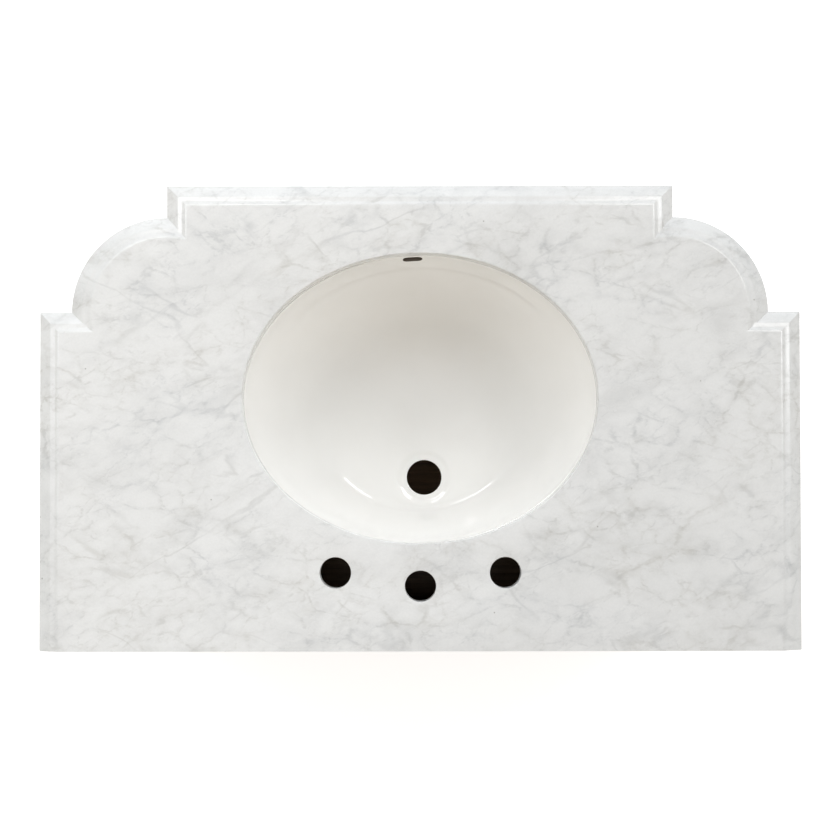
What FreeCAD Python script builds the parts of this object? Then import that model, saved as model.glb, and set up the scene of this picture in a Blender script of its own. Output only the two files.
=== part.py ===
"""A sink chest: a breakfront case with quarter-round corners, two doors and a drawer,
under a stone top with an ogee edge and an oval basin hung below its cut-out.

Millimetres, +Z up. The origin is on the floor below the middle of the top. The front faces -Y,
and left and right are those of a person who stands in front of the chest.
"""

import FreeCAD
import Part
import Sketcher
import os
import re

Vector = FreeCAD.Vector
Rotation = FreeCAD.Rotation
Placement = FreeCAD.Placement

# Driving dimensions: the alias, the size and what it is. Angles are in degrees.
SIZES = (
    ("edge_band", 16, "upright band at the foot of the stone edge"),
    ("edge_slope", 12.5, "width of the sloping lower face of the ogee"),
    ("edge_slope_rise", 8.5, "rise of the sloping lower face of the ogee"),
    ("edge_shoulder", 3, "width of the rounded shoulder above the slope"),
    ("edge_shoulder_rise", 1.4, "rise of the rounded shoulder"),
    ("edge_shoulder_radius", 10.6, "radius of the rounded shoulder"),
    ("edge_cove", 7, "width of the hollow above the shoulder"),
    ("edge_cove_rise", 2.9, "rise of the hollow"),
    ("edge_cove_radius", 25, "radius of the hollow"),
    ("edge_lip", 4, "width of the rounded lip above the hollow"),
    ("edge_lip_rise", 1.2, "rise of the rounded lip"),
    ("edge_lip_radius", 7.8, "radius of the rounded lip"),
    ("corner_radius", 114.3, "plan radius of the quarter-round corners of the top"),
    ("side_step", 38.1, "step of the top from a quarter-round out to its ear"),
    ("front_step", 38.1, "step of the top from a quarter-round out to the bay"),
    ("overhang", 25.4, "overhang of the top past the case at the front and sides"),
    ("back_overhang", 12.7, "overhang of the top past the case at the wall"),
    ("bowl_length", 426, "length of the oval cut-out, side to side"),
    ("bowl_width", 348, "width of the oval cut-out, front to back"),
    ("bowl_land", 128, "top between the cut-out and the wall edge"),
    ("bowl_ease", 1.5, "eased upper edge of the cut-out"),
    ("tap_hole_diameter", 37.4, "tap holes"),
    ("tap_hole_ease", 0.8, "eased upper edge of the tap holes"),
    ("valve_spacing", 203.2, "distance between the two valve holes"),
    ("valve_setback", 93.6, "valve holes from the wall edge of the top"),
    ("spout_setback", 77.5, "spout hole from the wall edge of the top"),
    ("seal_thickness", 1.5, "sealant between the top and the basin flange"),
    ("seal_inset", 4, "sealant set back from the mouth of the basin"),
    ("seal_width", 12, "width of the sealant bead"),
    ("mouth_reveal", 0.5, "mouth of the basin beyond the cut-out, all round"),
    ("basin_depth", 160, "depth of the bowl below its flange"),
    ("basin_wall", 8, "thickness of the basin"),
    ("basin_turn", 3, "angle by which the basin is turned in its cut-out"),
    ("flange_width", 22, "basin flange beyond the cut-out"),
    ("flange_thickness", 10, "thickness of the basin flange"),
    ("drain_diameter", 44.5, "waste hole of the basin"),
    ("drain_setback", 95.5, "waste hole behind the middle of the bowl"),
    ("drain_seat_diameter", 57, "mouth of the recess around the waste hole"),
    ("drain_seat_depth", 3, "depth of the recess around the waste hole"),
    ("drain_boss_diameter", 72, "flat boss under the waste hole"),
    ("overflow_width", 24, "width of the overflow slot"),
    ("overflow_height", 11, "height of the overflow slot"),
    ("overflow_drop", 10, "middle of the overflow slot below the flange"),
    ("chase_width", 36, "clear width of the overflow channel"),
    ("chase_gap", 6.5, "clear depth of the overflow channel"),
    ("chase_wall", 5, "wall of the overflow channel"),
    ("clip_length", 44, "basin clips, along the radius"),
    ("clip_width", 18, "basin clips, across the radius"),
    ("clip_thickness", 3, "basin clips"),
    ("clip_grip", 10, "reach of a clip under the flange"),
    ("clip_bolt_diameter", 6, "bolts of the basin clips"),
    ("clip_bolt_bite", 16, "depth of a clip bolt in the top"),
    ("clip_nut_diameter", 12, "nuts of the basin clips"),
    ("clip_nut_height", 6, "nuts of the basin clips"),
    ("basin_room", 8.4, "clearance from the basin flange to the partitions"),
    ("front_room", 9.4, "clearance from the basin flange to the frieze rail"),
    ("post_width", 36, "centre posts, across the front"),
    ("post_lap", 12, "centre posts behind the end of the corner panels"),
    ("panel_thickness", 16, "quarter-round corner panels"),
    ("case_step", 32.4, "ear of the case beside a quarter-round"),
    ("ear_post_depth", 40, "ear posts, front to back"),
    ("ear_post_lap", 12, "ear posts past the inner face of the corner panels"),
    ("rear_post_width", 40, "rear posts, side to side"),
    ("rear_post_depth", 40, "rear posts, front to back"),
    ("side_panel_thickness", 12, "side panels"),
    ("side_panel_inset", 8, "side panels behind the faces of their frames"),
    ("side_rail_height", 62, "upper and lower rails of the sides"),
    ("side_rail_thickness", 26, "upper and lower rails of the sides"),
    ("partition_thickness", 16, "partitions beside the cupboard"),
    ("back_thickness", 10, "back panel"),
    ("hanging_rail_height", 90, "rail that is screwed to the wall"),
    ("hanging_rail_thickness", 20, "rail that is screwed to the wall"),
    ("wall_hole_diameter", 6, "screw holes to the wall"),
    ("wall_hole_spacing", 406.4, "distance between the screw holes to the wall"),
    ("pipe_opening_width", 300, "opening for pipes in the back panel"),
    ("pipe_opening_height", 200, "opening for pipes in the back panel"),
    ("pipe_opening_sill", 110, "opening for pipes above the cupboard floor"),
    ("frieze_height", 115, "frieze above the doors"),
    ("frieze_rail_thickness", 14, "rail behind the frieze front"),
    ("frieze_front_thickness", 12, "frieze front"),
    ("door_opening", 464, "height of the cupboard opening"),
    ("drawer_opening", 150, "height of the drawer opening"),
    ("mid_rail_height", 20, "rail between doors and drawer"),
    ("mid_rail_depth", 60, "rail between doors and drawer"),
    ("cupboard_floor_thickness", 12, "floor of the cupboard"),
    ("deck_thickness", 20, "deck board under the case"),
    ("deck_reach", 10, "deck board beyond the faces of the case"),
    ("deck_round", 9, "rounded upper edge of the deck board"),
    ("plinth_height", 85, "plinth boards"),
    ("plinth_reach", 4, "plinth beyond the faces of the case"),
    ("plinth_thickness", 20, "plinth boards"),
    ("block_size", 46, "glue blocks in the corners of the plinth"),
    ("glide_diameter", 30, "floor glides"),
    ("glide_height", 5, "floor glides"),
    ("cornice_foot", 3, "foot of the cornice out from the case"),
    ("cornice_cove", 13, "radius of the hollow of the cornice"),
    ("cornice_fillet", 3, "upright foot below the hollow of the cornice"),
    ("cornice_band", 6, "upright band above the hollow of the cornice"),
    ("door_gap", 3, "clearance round the doors and the drawer front"),
    ("door_thickness", 22, "door frames and drawer front"),
    ("stile_width", 52, "door stiles"),
    ("rail_width", 56, "door rails"),
    ("groove_setback", 9, "panel groove from the face of the door"),
    ("groove_width", 8, "panel groove, and the panel edge in it"),
    ("groove_depth", 9, "panel groove"),
    ("panel_play", 0.6, "room for the door panel at the bottom of its groove"),
    ("panel_raise", 5, "raised field of the door panel"),
    ("panel_bevel", 24, "bevel round the raised field"),
    ("bead_width", 9, "bead frames, across"),
    ("bead_setback", 1.5, "bead of a door behind the face of the door"),
    ("bead_slope", 4, "bevel on the inner edge of a bead"),
    ("bead_proud", 4, "beads of the frieze and drawer in front of their faces"),
    ("bead_margin", 20, "beads of the frieze and drawer from the edge of their fronts"),
    ("knob_diameter", 26, "knobs"),
    ("knob_projection", 24, "knobs out from the face that they stand on"),
    ("knob_base_diameter", 20, "foot of a knob"),
    ("knob_base_height", 3, "foot of a knob"),
    ("knob_neck_diameter", 10, "neck of a knob"),
    ("knob_head_height", 13, "head of a knob"),
    ("knob_rim", 4, "rim of a knob above the foot of its head"),
    ("drawer_knob_spacing", 250, "distance between the knobs of the drawer"),
    ("hinge_height", 64, "hinge leaves"),
    ("hinge_leaf", 1.3, "thickness of the hinge leaves"),
    ("hinge_reach", 18, "hinge leaves behind the face of the door"),
    ("hinge_inset", 56, "hinges from the ends of the doors"),
    ("knuckle_diameter", 7, "knuckles of the hinges"),
    ("knuckle_gap", 0.5, "knuckles in front of the faces of door and post"),
    ("knuckle_play", 0.3, "end play between the knuckles"),
    ("pin_diameter", 3.5, "hinge pins"),
    ("pin_play", 0.06, "radial running clearance of the hinge pins"),
    ("pin_head_height", 2, "heads of the hinge pins"),
    ("catch_width", 60, "magnetic catch"),
    ("catch_drop", 22, "magnets of the catch below the frieze rail"),
    ("catch_plate_height", 30, "plate of the catch on the frieze rail"),
    ("catch_plate_thickness", 2, "plate of the catch on the frieze rail"),
    ("catch_depth", 14, "magnets of the catch, front to back"),
    ("catch_play", 0.3, "air between magnet and strike"),
    ("strike_width", 22, "strike plates"),
    ("strike_height", 14, "strike plates"),
    ("strike_thickness", 1.5, "strike plates"),
    ("drawer_depth", 420, "drawer behind its front"),
    ("drawer_side_height", 108, "drawer sides"),
    ("drawer_side_thickness", 14, "drawer sides and back"),
    ("drawer_lift", 12, "drawer box above the lower edge of its front"),
    ("drawer_bottom_thickness", 8, "drawer bottom"),
    ("drawer_bottom_rise", 10, "drawer bottom above the lower edge of the sides"),
    ("drawer_bottom_bite", 7, "drawer bottom in the grooves of the sides"),
    ("slide_width", 12.7, "drawer slides, between partition and drawer side"),
    ("slide_height", 45, "drawer slides"),
    ("slide_length", 400, "drawer slides"),
    ("slide_metal", 1.4, "sheet of the drawer slides"),
    ("slide_play", 0.4, "running clearance between the slide members"),
    ("slide_rise", 28, "drawer slides above the lower edge of the drawer sides"),
    ("overrun", 5, "cutting tools past the faces that they cut"),
)

# Sizes that follow from the driving ones.
DERIVED = {
    "edge_shoulder_top": "edge_band + edge_slope_rise + edge_shoulder_rise",
    "edge_lip_foot": "edge_shoulder_top + edge_cove_rise",
    "top_thickness": "edge_lip_foot + edge_lip_rise",
    "edge_inset": "edge_slope + edge_shoulder + edge_cove + edge_lip",
    # Half widths from the middle plane, from the basin outwards.
    "flange_half": "bowl_length / 2 + flange_width",
    "bay_inner": "flange_half + basin_room",
    "bay_face": "bay_inner + post_width",
    "bay_half": "bay_face + overhang",
    "ear_half": "bay_half + corner_radius + side_step",
    "ear_face": "ear_half - overhang",
    "case_radius": "corner_radius + side_step - case_step",
    # Depths, from the wall edge of the top forwards.
    "bowl_setback": "bowl_land + bowl_width / 2",
    "front_room_depth": "flange_width + front_room + frieze_rail_thickness + frieze_front_thickness",
    "top_depth": "bowl_setback + bowl_width / 2 + front_room_depth + overhang",
    "top_back": "top_depth / 2",
    "top_front": "-top_depth / 2",
    "case_back": "top_back - back_overhang",
    "case_front": "top_front + overhang",
    "top_ear_front": "top_front + front_step + corner_radius",
    "ear_front": "top_ear_front + overhang",
    "bowl_middle": "top_back - bowl_setback",
    "corner_end": "ear_front - case_radius",
    "post_back": "corner_end + panel_thickness + post_lap",
    "back_face": "case_back - back_thickness",
    "rear_post_front": "case_back - rear_post_depth",
    "ear_post_back": "ear_front + ear_post_depth",
    "door_back": "case_front + door_thickness",
    # Heights, from the floor upwards.
    "deck_bottom": "glide_height + plinth_height",
    "deck_top": "deck_bottom + deck_thickness",
    "drawer_top": "deck_top + drawer_opening",
    "cupboard_bottom": "drawer_top + mid_rail_height",
    "cupboard_top": "cupboard_bottom + door_opening",
    "case_top": "cupboard_top + frieze_height",
    "chest_height": "case_top + top_thickness",
    "cornice_height": "cornice_fillet + cornice_cove + cornice_band",
    "cornice_reach": "cornice_foot + cornice_cove",
    "cornice_bottom": "case_top - cornice_height",
    # Basin.
    "drain_boss_height": "basin_wall + chase_gap + chase_wall",
    # Doors.
    "door_bottom": "cupboard_bottom + door_gap",
    "door_top": "cupboard_top - door_gap",
    "door_inner": "door_gap / 2",
    "door_outer": "bay_inner - door_gap",
    "panel_left": "door_inner + stile_width",
    "panel_right": "door_outer - stile_width",
    "panel_low": "door_bottom + rail_width",
    "panel_high": "door_top - rail_width",
    "groove_front": "case_front + groove_setback",
    "groove_back": "groove_front + groove_width",
    # Hinges.
    "hinge_x": "bay_inner - door_gap / 2",
    "hinge_y": "case_front - knuckle_diameter / 2 - knuckle_gap",
    "knuckle_height": "(hinge_height - knuckle_play * 2) / 3",
    # Drawer.
    "drawer_half": "bay_inner - slide_width",
    "drawer_front_bottom": "deck_top + door_gap",
    "drawer_front_top": "drawer_top - door_gap",
    "drawer_box_bottom": "drawer_front_bottom + drawer_lift",
    "drawer_box_back": "door_back + drawer_depth",
    "slide_middle_height": "drawer_box_bottom + slide_rise + slide_height / 2",
}

# How the bowl narrows: shares of its depth, and of the length and width of its mouth at those depths.
DEPTH_SHARES = (0.0, 0.10, 0.28, 0.50, 0.70, 0.85, 0.95, 1.0)
LENGTH_SHARES = (1.0, 0.984, 0.940, 0.868, 0.766, 0.645, 0.510, 0.290)
WIDTH_SHARES = (1.0, 0.982, 0.930, 0.835, 0.700, 0.545, 0.385, 0.215)

CLIP_ANGLES = (45, 135, 225, 315)
FUNCTIONS = ("cos", "sin", "sqrt")
SIDES = {"left": -1, "right": 1}

doc = FreeCAD.newDocument("sink_chest")
sheet = doc.addObject("Spreadsheet::Sheet", "Sizes")
for row, (alias, value, words) in enumerate(SIZES, start=1):
    sheet.set(f"A{row}", words)
    sheet.set(f"B{row}", str(value))
    sheet.setAlias(f"B{row}", alias)
doc.recompute()

nodes = []


# Expressions

def ref(text):
    """An expression on size names, written as references to the cells of the sheet."""
    def cell(match):
        word = match.group(0)
        if word in FUNCTIONS:
            return word
        if word in DERIVED:
            return f"({ref(DERIVED[word])})"
        return f"Sizes.{word}"
    return re.sub(r"[a-z][a-z_]*", cell, text)


def number(text):
    """The present value of an expression on size names."""
    return float(sheet.evalExpression(ref(text)))


def bind(thing, **properties):
    """Binds properties to expressions; x, y and z stand for the place."""
    for name, text in properties.items():
        path = f"Placement.Base.{name}" if name in "xyz" else name
        thing.setExpression(path, ref(text))
    return thing


def flip(pair, side):
    """A pair of limits along X, given for the right side, on the side asked for."""
    low, high = pair
    return (low, high) if side > 0 else (f"-({high})", f"-({low})")


# Solids

def node(label, thing):
    """Names a finished sub-part and puts it on the list of what is written out."""
    thing.Label = label
    nodes.append(thing)
    return thing


def box(x, y, z):
    """A board between pairs of limits along each axis."""
    board = doc.addObject("Part::Box", "board")
    lengths = {
        "Length": f"({x[1]}) - ({x[0]})",
        "Width": f"({y[1]}) - ({y[0]})",
        "Height": f"({z[1]}) - ({z[0]})",
    }
    return bind(board, x=x[0], y=y[0], z=z[0], **lengths)


AXES = {
    "x": Rotation(Vector(0, 1, 0), 90),
    "y": Rotation(Vector(1, 0, 0), -90),
    "z": Rotation(),
}


def cylinder(radius, length, at, axis="z"):
    """A round bar from a point along an axis."""
    bar = doc.addObject("Part::Cylinder", "bar")
    bar.Placement = Placement(Vector(), AXES[axis])
    return bind(bar, Radius=radius, Height=length, x=at[0], y=at[1], z=at[2])


def cone(low_radius, high_radius, height, at):
    """An upright cone between two radii."""
    taper = doc.addObject("Part::Cone", "taper")
    return bind(taper, Radius1=low_radius, Radius2=high_radius, Height=height, x=at[0], y=at[1], z=at[2])


def wedge(y, front, back):
    """A block whose front and back rectangles, each (x, z) pairs of limits, differ."""
    block = doc.addObject("Part::Wedge", "wedge")
    (front_x, front_z), (back_x, back_z) = front, back
    limits = {
        "Ymin": y[0], "Ymax": y[1],
        "Xmin": front_x[0], "Xmax": front_x[1], "Zmin": front_z[0], "Zmax": front_z[1],
        "X2min": back_x[0], "X2max": back_x[1], "Z2min": back_z[0], "Z2max": back_z[1],
    }
    # The limits are set in the order that keeps the block open, then bound.
    for name in ("Ymax", "Xmax", "Zmax", "X2max", "Z2max", "Ymin", "Xmin", "Zmin", "X2min", "Z2min"):
        setattr(block, name, number(limits[name]))
    return bind(block, **limits)


def ellipse(length, width, at):
    """A flat oval ring line, given its half length along X and its half width along Y."""
    oval = doc.addObject("Part::Ellipse", "oval")
    return bind(oval, MajorRadius=length, MinorRadius=width, x=at[0], y=at[1], z=at[2])


def extrude(profile, direction, length):
    """A solid from a closed outline carried along a direction."""
    solid = doc.addObject("Part::Extrusion", "extrusion")
    solid.Base = profile
    solid.DirMode = "Custom"
    solid.Dir = direction
    solid.Solid = True
    return bind(solid, LengthFwd=length)


def oval_column(length, width, at, height):
    """An upright oval column."""
    return extrude(ellipse(length, width, at), Vector(0, 0, 1), height)


def loft(sections, ruled=False):
    """A solid skin through closed sections."""
    solid = doc.addObject("Part::Loft", "loft")
    solid.Sections = sections
    solid.Solid = True
    solid.Ruled = ruled
    return solid


def fuse(*solids):
    """Several solids joined into one."""
    joined = doc.addObject("Part::MultiFuse", "fusion")
    joined.Shapes = list(solids)
    joined.Refine = True
    return joined


def common(first, second):
    """What two solids share."""
    shared = doc.addObject("Part::MultiCommon", "common")
    shared.Shapes = [first, second]
    return shared


def cut(base, *tools):
    """A solid less one or more others."""
    rest = doc.addObject("Part::Cut", "cut")
    rest.Base = base
    rest.Tool = tools[0] if len(tools) == 1 else fuse(*tools)
    return rest


def group(*solids):
    """Separate solids that share one node."""
    pieces = doc.addObject("Part::Compound", "pieces")
    pieces.Links = list(solids)
    return pieces


# Outlines

def draw(sketch, corners):
    """Draws a closed outline, counter-clockwise, bound to the sheet.

    Each corner is (u, v, bend): its place, and None for a straight run to the next corner, or
    (radius, turn) for an arc that turns left (1, a convex edge) or right (-1, a hollow one).
    """
    places = [Vector(number(u), number(v), 0) for u, v, _ in corners]
    starts, ends = [], []
    for index, (_, _, bend) in enumerate(corners):
        here, there = places[index], places[(index + 1) % len(corners)]
        if bend is None:
            sketch.addGeometry(Part.LineSegment(here, there), False)
            turn = 1
        else:
            turn = bend[1]
            chord = there - here
            rise = max(number(bend[0]) ** 2 - chord.Length ** 2 / 4, 0) ** 0.5
            across = Vector(-chord.y, chord.x, 0).normalize() * (rise * turn)
            middle = (here + there) * 0.5 + across
            first, last = (here, there) if turn > 0 else (there, here)
            circle = Part.Circle(middle, Vector(0, 0, 1), number(bend[0]))
            arc = Part.ArcOfCircle(circle, circle.parameter(first), circle.parameter(last))
            sketch.addGeometry(arc, False)
        starts.append(1 if turn > 0 else 2)
        ends.append(2 if turn > 0 else 1)
    for index, (u, v, bend) in enumerate(corners):
        after = (index + 1) % len(corners)
        sketch.addConstraint(Sketcher.Constraint("Coincident", index, ends[index], after, starts[after]))
        for kind, text, axis in (("DistanceX", u, -2), ("DistanceY", v, -1)):
            if text == "0":
                hold = Sketcher.Constraint("PointOnObject", index, starts[index], axis)
                sketch.addConstraint(hold)
                continue
            hold = Sketcher.Constraint(kind, -1, 1, index, starts[index], number(text))
            name = f"{kind}{index}"
            sketch.renameConstraint(sketch.addConstraint(hold), name)
            sketch.setExpression(f"Constraints.{name}", ref(text))
        if bend is not None:
            name = f"Radius{index}"
            hold = Sketcher.Constraint("Radius", index, number(bend[0]))
            sketch.renameConstraint(sketch.addConstraint(hold), name)
            sketch.setExpression(f"Constraints.{name}", ref(bend[0]))
    return sketch


TURNS = {
    "xy": Rotation(),
    "xz": Rotation(Vector(1, 0, 0), 90),
    "yz": Rotation(Vector(1, 1, 1), 120),
}


def outline(plane, corners, **at):
    """A free-standing outline in a plane through the place given."""
    sketch = doc.addObject("Sketcher::SketchObject", "outline")
    sketch.Placement = Placement(Vector(), TURNS[plane])
    return bind(draw(sketch, corners), **at)


def body_outline(body, role, corners):
    """An outline on one of a body's own origin planes."""
    sketch = body.newObject("Sketcher::SketchObject", "outline")
    plane = next(face for face in body.Origin.OriginFeatures if face.Role == role)
    sketch.AttachmentSupport = (plane, [""])
    sketch.MapMode = "FlatFace"
    return draw(sketch, corners)


def rectangle(u, v):
    """Corners of a rectangle between two pairs of limits."""
    return [(u[0], v[0], None), (u[1], v[0], None), (u[1], v[1], None), (u[0], v[1], None)]


def pad(body, sketch, length, reverse=False):
    """A pad of a body's outline."""
    feature = body.newObject("PartDesign::Pad", "pad")
    feature.Profile = sketch
    feature.Reversed = reverse
    return bind(feature, Length=length)


def pocket_through(body, sketch):
    """A pocket of a body's outline, right through in both directions."""
    feature = body.newObject("PartDesign::Pocket", "pocket")
    feature.Profile = sketch
    feature.Type = "ThroughAll"
    feature.SideType = "Symmetric"
    return feature


def turned_body(corners):
    """A body turned about its own upright axis."""
    body = doc.addObject("PartDesign::Body", "turning")
    sketch = body_outline(body, "XZ_Plane", corners)
    feature = body.newObject("PartDesign::Revolution", "turning")
    feature.Profile = sketch
    feature.ReferenceAxis = (sketch, ["V_Axis"])
    return body


# Edge mouldings, each from the outer foot upwards: (inset, height, bend to the next corner).

OGEE = (
    ("0", "0", None),
    ("0", "edge_band", None),
    ("edge_slope", "edge_band + edge_slope_rise", ("edge_shoulder_radius", 1)),
    ("edge_slope + edge_shoulder", "edge_shoulder_top", ("edge_cove_radius", -1)),
    ("edge_inset - edge_lip", "edge_lip_foot", ("edge_lip_radius", 1)),
    ("edge_inset", "top_thickness", None),
)
OVOLO = (
    ("0", "0", None),
    ("0", "deck_thickness - deck_round", ("deck_round", 1)),
    ("deck_round", "deck_thickness", None),
)
CAVETTO = (
    ("cornice_cove", "0", None),
    ("cornice_cove", "cornice_fillet", ("cornice_cove", -1)),
    ("0", "cornice_fillet + cornice_cove", None),
    ("0", "cornice_height", None),
)

# Plans of the courses that follow the breakfront: the top, and a course that stands out from the case.
TOP_PLAN = {
    "bay": "bay_half", "front": "top_front", "ear": "ear_half", "ear_front": "top_ear_front",
    "back": "top_back", "corner_x": "bay_half", "corner_y": "top_ear_front", "radius": "corner_radius",
}


def case_plan(reach):
    """The plan of a course that stands out from the faces of the case."""
    return {
        "bay": f"bay_face + {reach}", "front": f"case_front - {reach}",
        "ear": f"ear_face + {reach}", "ear_front": f"ear_front - {reach}", "back": "case_back",
        "corner_x": "bay_face", "corner_y": "ear_front", "radius": f"case_radius + {reach}",
    }


def moulded_block(moulding, half, front, back, bottom):
    """A block moulded on its front and both sides, plain at the wall."""
    rising = [(f"{half} - ({inset})", height, bend) for inset, height, bend in moulding]
    bends = [bend for _, _, bend in moulding]
    falling = [
        (f"-({half}) + ({inset})", height, bends[index - 1] if index else None)
        for index, (inset, height, _) in reversed(list(enumerate(moulding)))
    ]
    across = outline("xz", rising + falling, y=front, z=bottom)
    forward = [
        (f"({front}) + ({inset})", height, bends[index - 1] if index else None)
        for index, (inset, height, _) in reversed(list(enumerate(moulding)))
    ]
    height = moulding[-1][1]
    along = outline("yz", forward + [(back, "0", None), (back, height, None)], x=f"-({half})", z=bottom)
    run = extrude(across, Vector(0, 1, 0), f"({back}) - ({front})")
    return common(run, extrude(along, Vector(1, 0, 0), f"({half}) * 2"))


def moulded_disc(moulding, radius, x, y, bottom):
    """A disc with a moulded edge."""
    rim = [(f"{radius} - ({inset})", height, bend) for inset, height, bend in moulding]
    half_section = outline("xz", [("0", "0", None)] + rim + [("0", moulding[-1][1], None)])
    disc = doc.addObject("Part::Revolution", "disc")
    disc.Source = half_section
    disc.Axis = Vector(0, 0, 1)
    disc.Solid = True
    return bind(disc, x=x, y=y, z=bottom)


def moulded_course(moulding, plan, bottom):
    """The bay, the rear block and the two corner discs of a course with a moulded edge."""
    bay = moulded_block(moulding, plan["bay"], plan["front"], plan["back"], bottom)
    rear = moulded_block(moulding, plan["ear"], plan["ear_front"], plan["back"], bottom)
    discs = [
        moulded_disc(moulding, plan["radius"], f"{sign} * ({plan['corner_x']})", plan["corner_y"], bottom)
        for sign in SIDES.values()
    ]
    return bay, rear, discs


def plain_course(plan, z):
    """A solid of the whole plan between two heights."""
    bay = box((f"-({plan['bay']})", plan["bay"]), (plan["front"], plan["back"]), z)
    rear = box((f"-({plan['ear']})", plan["ear"]), (plan["ear_front"], plan["back"]), z)
    height = f"({z[1]}) - ({z[0]})"
    discs = [
        cylinder(plan["radius"], height, (f"{sign} * ({plan['corner_x']})", plan["corner_y"], z[0]))
        for sign in SIDES.values()
    ]
    return fuse(bay, rear, *discs)


# Stone top

def marble_top():
    """The slab: ogee on the front and sides, oval cut-out, tap holes and sockets for the clip bolts."""
    bay, rear, discs = moulded_course(OGEE, TOP_PLAN, "case_top")
    slab = fuse(bay, rear, *discs)
    half = ("bowl_length / 2", "bowl_width / 2")
    tools = [oval_column(*half, ("0", "bowl_middle", "case_top - overrun"), "top_thickness + overrun * 2")]
    low = ellipse(*half, ("0", "bowl_middle", "chest_height - bowl_ease"))
    wide = [f"{size} + bowl_ease * 2" for size in half]
    high = ellipse(*wide, ("0", "bowl_middle", "chest_height + bowl_ease"))
    tools.append(loft([low, high], ruled=True))
    taps = (
        ("-valve_spacing / 2", "top_back - valve_setback"),
        ("0", "top_back - spout_setback"),
        ("valve_spacing / 2", "top_back - valve_setback"),
    )
    for x, y in taps:
        radius = "tap_hole_diameter / 2"
        tools.append(cylinder(radius, "top_thickness + overrun * 2", (x, y, "case_top - overrun")))
        rim = (radius, f"{radius} + tap_hole_ease * 2", "tap_hole_ease * 2")
        tools.append(cone(*rim, (x, y, "chest_height - tap_hole_ease")))
    depth = "seal_thickness + clip_bolt_bite"
    sockets = [
        cylinder("clip_bolt_diameter / 2", depth, (*clip_place(angle), "0")) for angle in CLIP_ANGLES
    ]
    node("marble_top", cut(slab, *tools, hang(group(*sockets))))


# Basin, in its own frame: origin at the middle of the mouth, on top of the flange.

def hang(thing):
    """Puts a piece of the basin in its place under the top, turned as the basin is."""
    thing.Placement = Placement(Vector(), Rotation(Vector(0, 0, 1), number("basin_turn")))
    thing.setExpression("Placement.Rotation.Angle", ref("basin_turn"))
    return bind(thing, x="0", y="bowl_middle", z="case_top - seal_thickness")


def clip_place(angle):
    """Where the bolt of a basin clip stands, as expressions along X and Y."""
    reach = "clip_length - clip_grip - clip_nut_diameter"
    x = f"(flange_half + {reach}) * cos({angle})"
    y = f"(bowl_width / 2 + flange_width + {reach}) * sin({angle})"
    return x, y


def bowl_skin(growth, floor_drop):
    """A bowl-shaped solid that stands outside the inner face by a growth, with its floor lowered."""
    sections = []
    last = WIDTH_SHARES[-1]
    for depth_share, length_share, width_share in zip(DEPTH_SHARES, LENGTH_SHARES, WIDTH_SHARES):
        shift_share = (1 - width_share) / (1 - last)
        length = f"(bowl_length / 2 + mouth_reveal) * {length_share} + {growth}"
        width = f"(bowl_width / 2 + mouth_reveal) * {width_share} + {growth}"
        depth = f"-(basin_depth + {floor_drop}) * {depth_share}"
        sections.append(ellipse(length, width, ("0", f"drain_setback * {shift_share}", depth)))
    return loft(sections)


def basin():
    """The bowl with its flange, waste hole and overflow channel."""
    inside = bowl_skin("0", "0")
    shell = bowl_skin("basin_wall", "basin_wall")
    chase_void = bowl_skin("basin_wall + chase_gap", "basin_wall + chase_gap")
    chase_skin = bowl_skin("basin_wall + chase_gap + chase_wall", "basin_wall + chase_gap + chase_wall")
    flange_depth = "bowl_width / 2 + flange_width"
    flange = oval_column("flange_half", flange_depth, ("0", "0", "-flange_thickness"), "flange_thickness")
    boss_bottom = "-basin_depth - drain_boss_height"
    boss = cylinder("drain_boss_diameter / 2", "drain_boss_height", ("0", "drain_setback", boss_bottom))
    channel_y = (f"-({flange_depth})", "drain_setback")
    channel_half = "chase_width / 2"
    skin_half = "chase_width / 2 + chase_wall"
    heights = (boss_bottom, "0")
    chase = common(chase_skin, box((f"-({skin_half})", skin_half), channel_y, heights))
    under_flange = (boss_bottom, "-flange_thickness / 2")
    channel = common(chase_void, box((f"-({channel_half})", channel_half), channel_y, under_flange))
    body = fuse(shell, flange, boss, chase)
    waste_bottom = "-basin_depth - drain_boss_height - overrun"
    waste_length = "basin_depth + drain_boss_height"
    waste = cylinder("drain_diameter / 2", waste_length, ("0", "drain_setback", waste_bottom))
    seat_rise = "drain_seat_depth * 2"
    seat_low = "(drain_seat_diameter + drain_diameter) / 4"
    seat_high = "drain_seat_diameter - (drain_seat_diameter + drain_diameter) / 4"
    seat = cone(seat_low, seat_high, seat_rise, ("0", "drain_setback", "-basin_depth - drain_seat_depth"))
    slot_length = "flange_width + chase_gap"
    slot_front = "-(bowl_width / 2 + basin_wall + chase_gap / 2)"
    slot_half = "(overflow_width - overflow_height) / 2"
    slot_ends = [(f"{sign} * {slot_half}", slot_front, "-overflow_drop") for sign in SIDES.values()]
    ends = [cylinder("overflow_height / 2", slot_length, at, "y") for at in slot_ends]
    slot_y = (slot_front, f"{slot_front} + {slot_length}")
    slot_z = ("-overflow_drop - overflow_height / 2", "-overflow_drop + overflow_height / 2")
    slot = box((f"-({slot_half})", slot_half), slot_y, slot_z)
    hollow_channel = cut(channel, bowl_skin("basin_wall", "basin_wall"))
    bowl = cut(body, inside, waste, seat, slot, *ends, hollow_channel)
    node("basin", hang(bowl))


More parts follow.
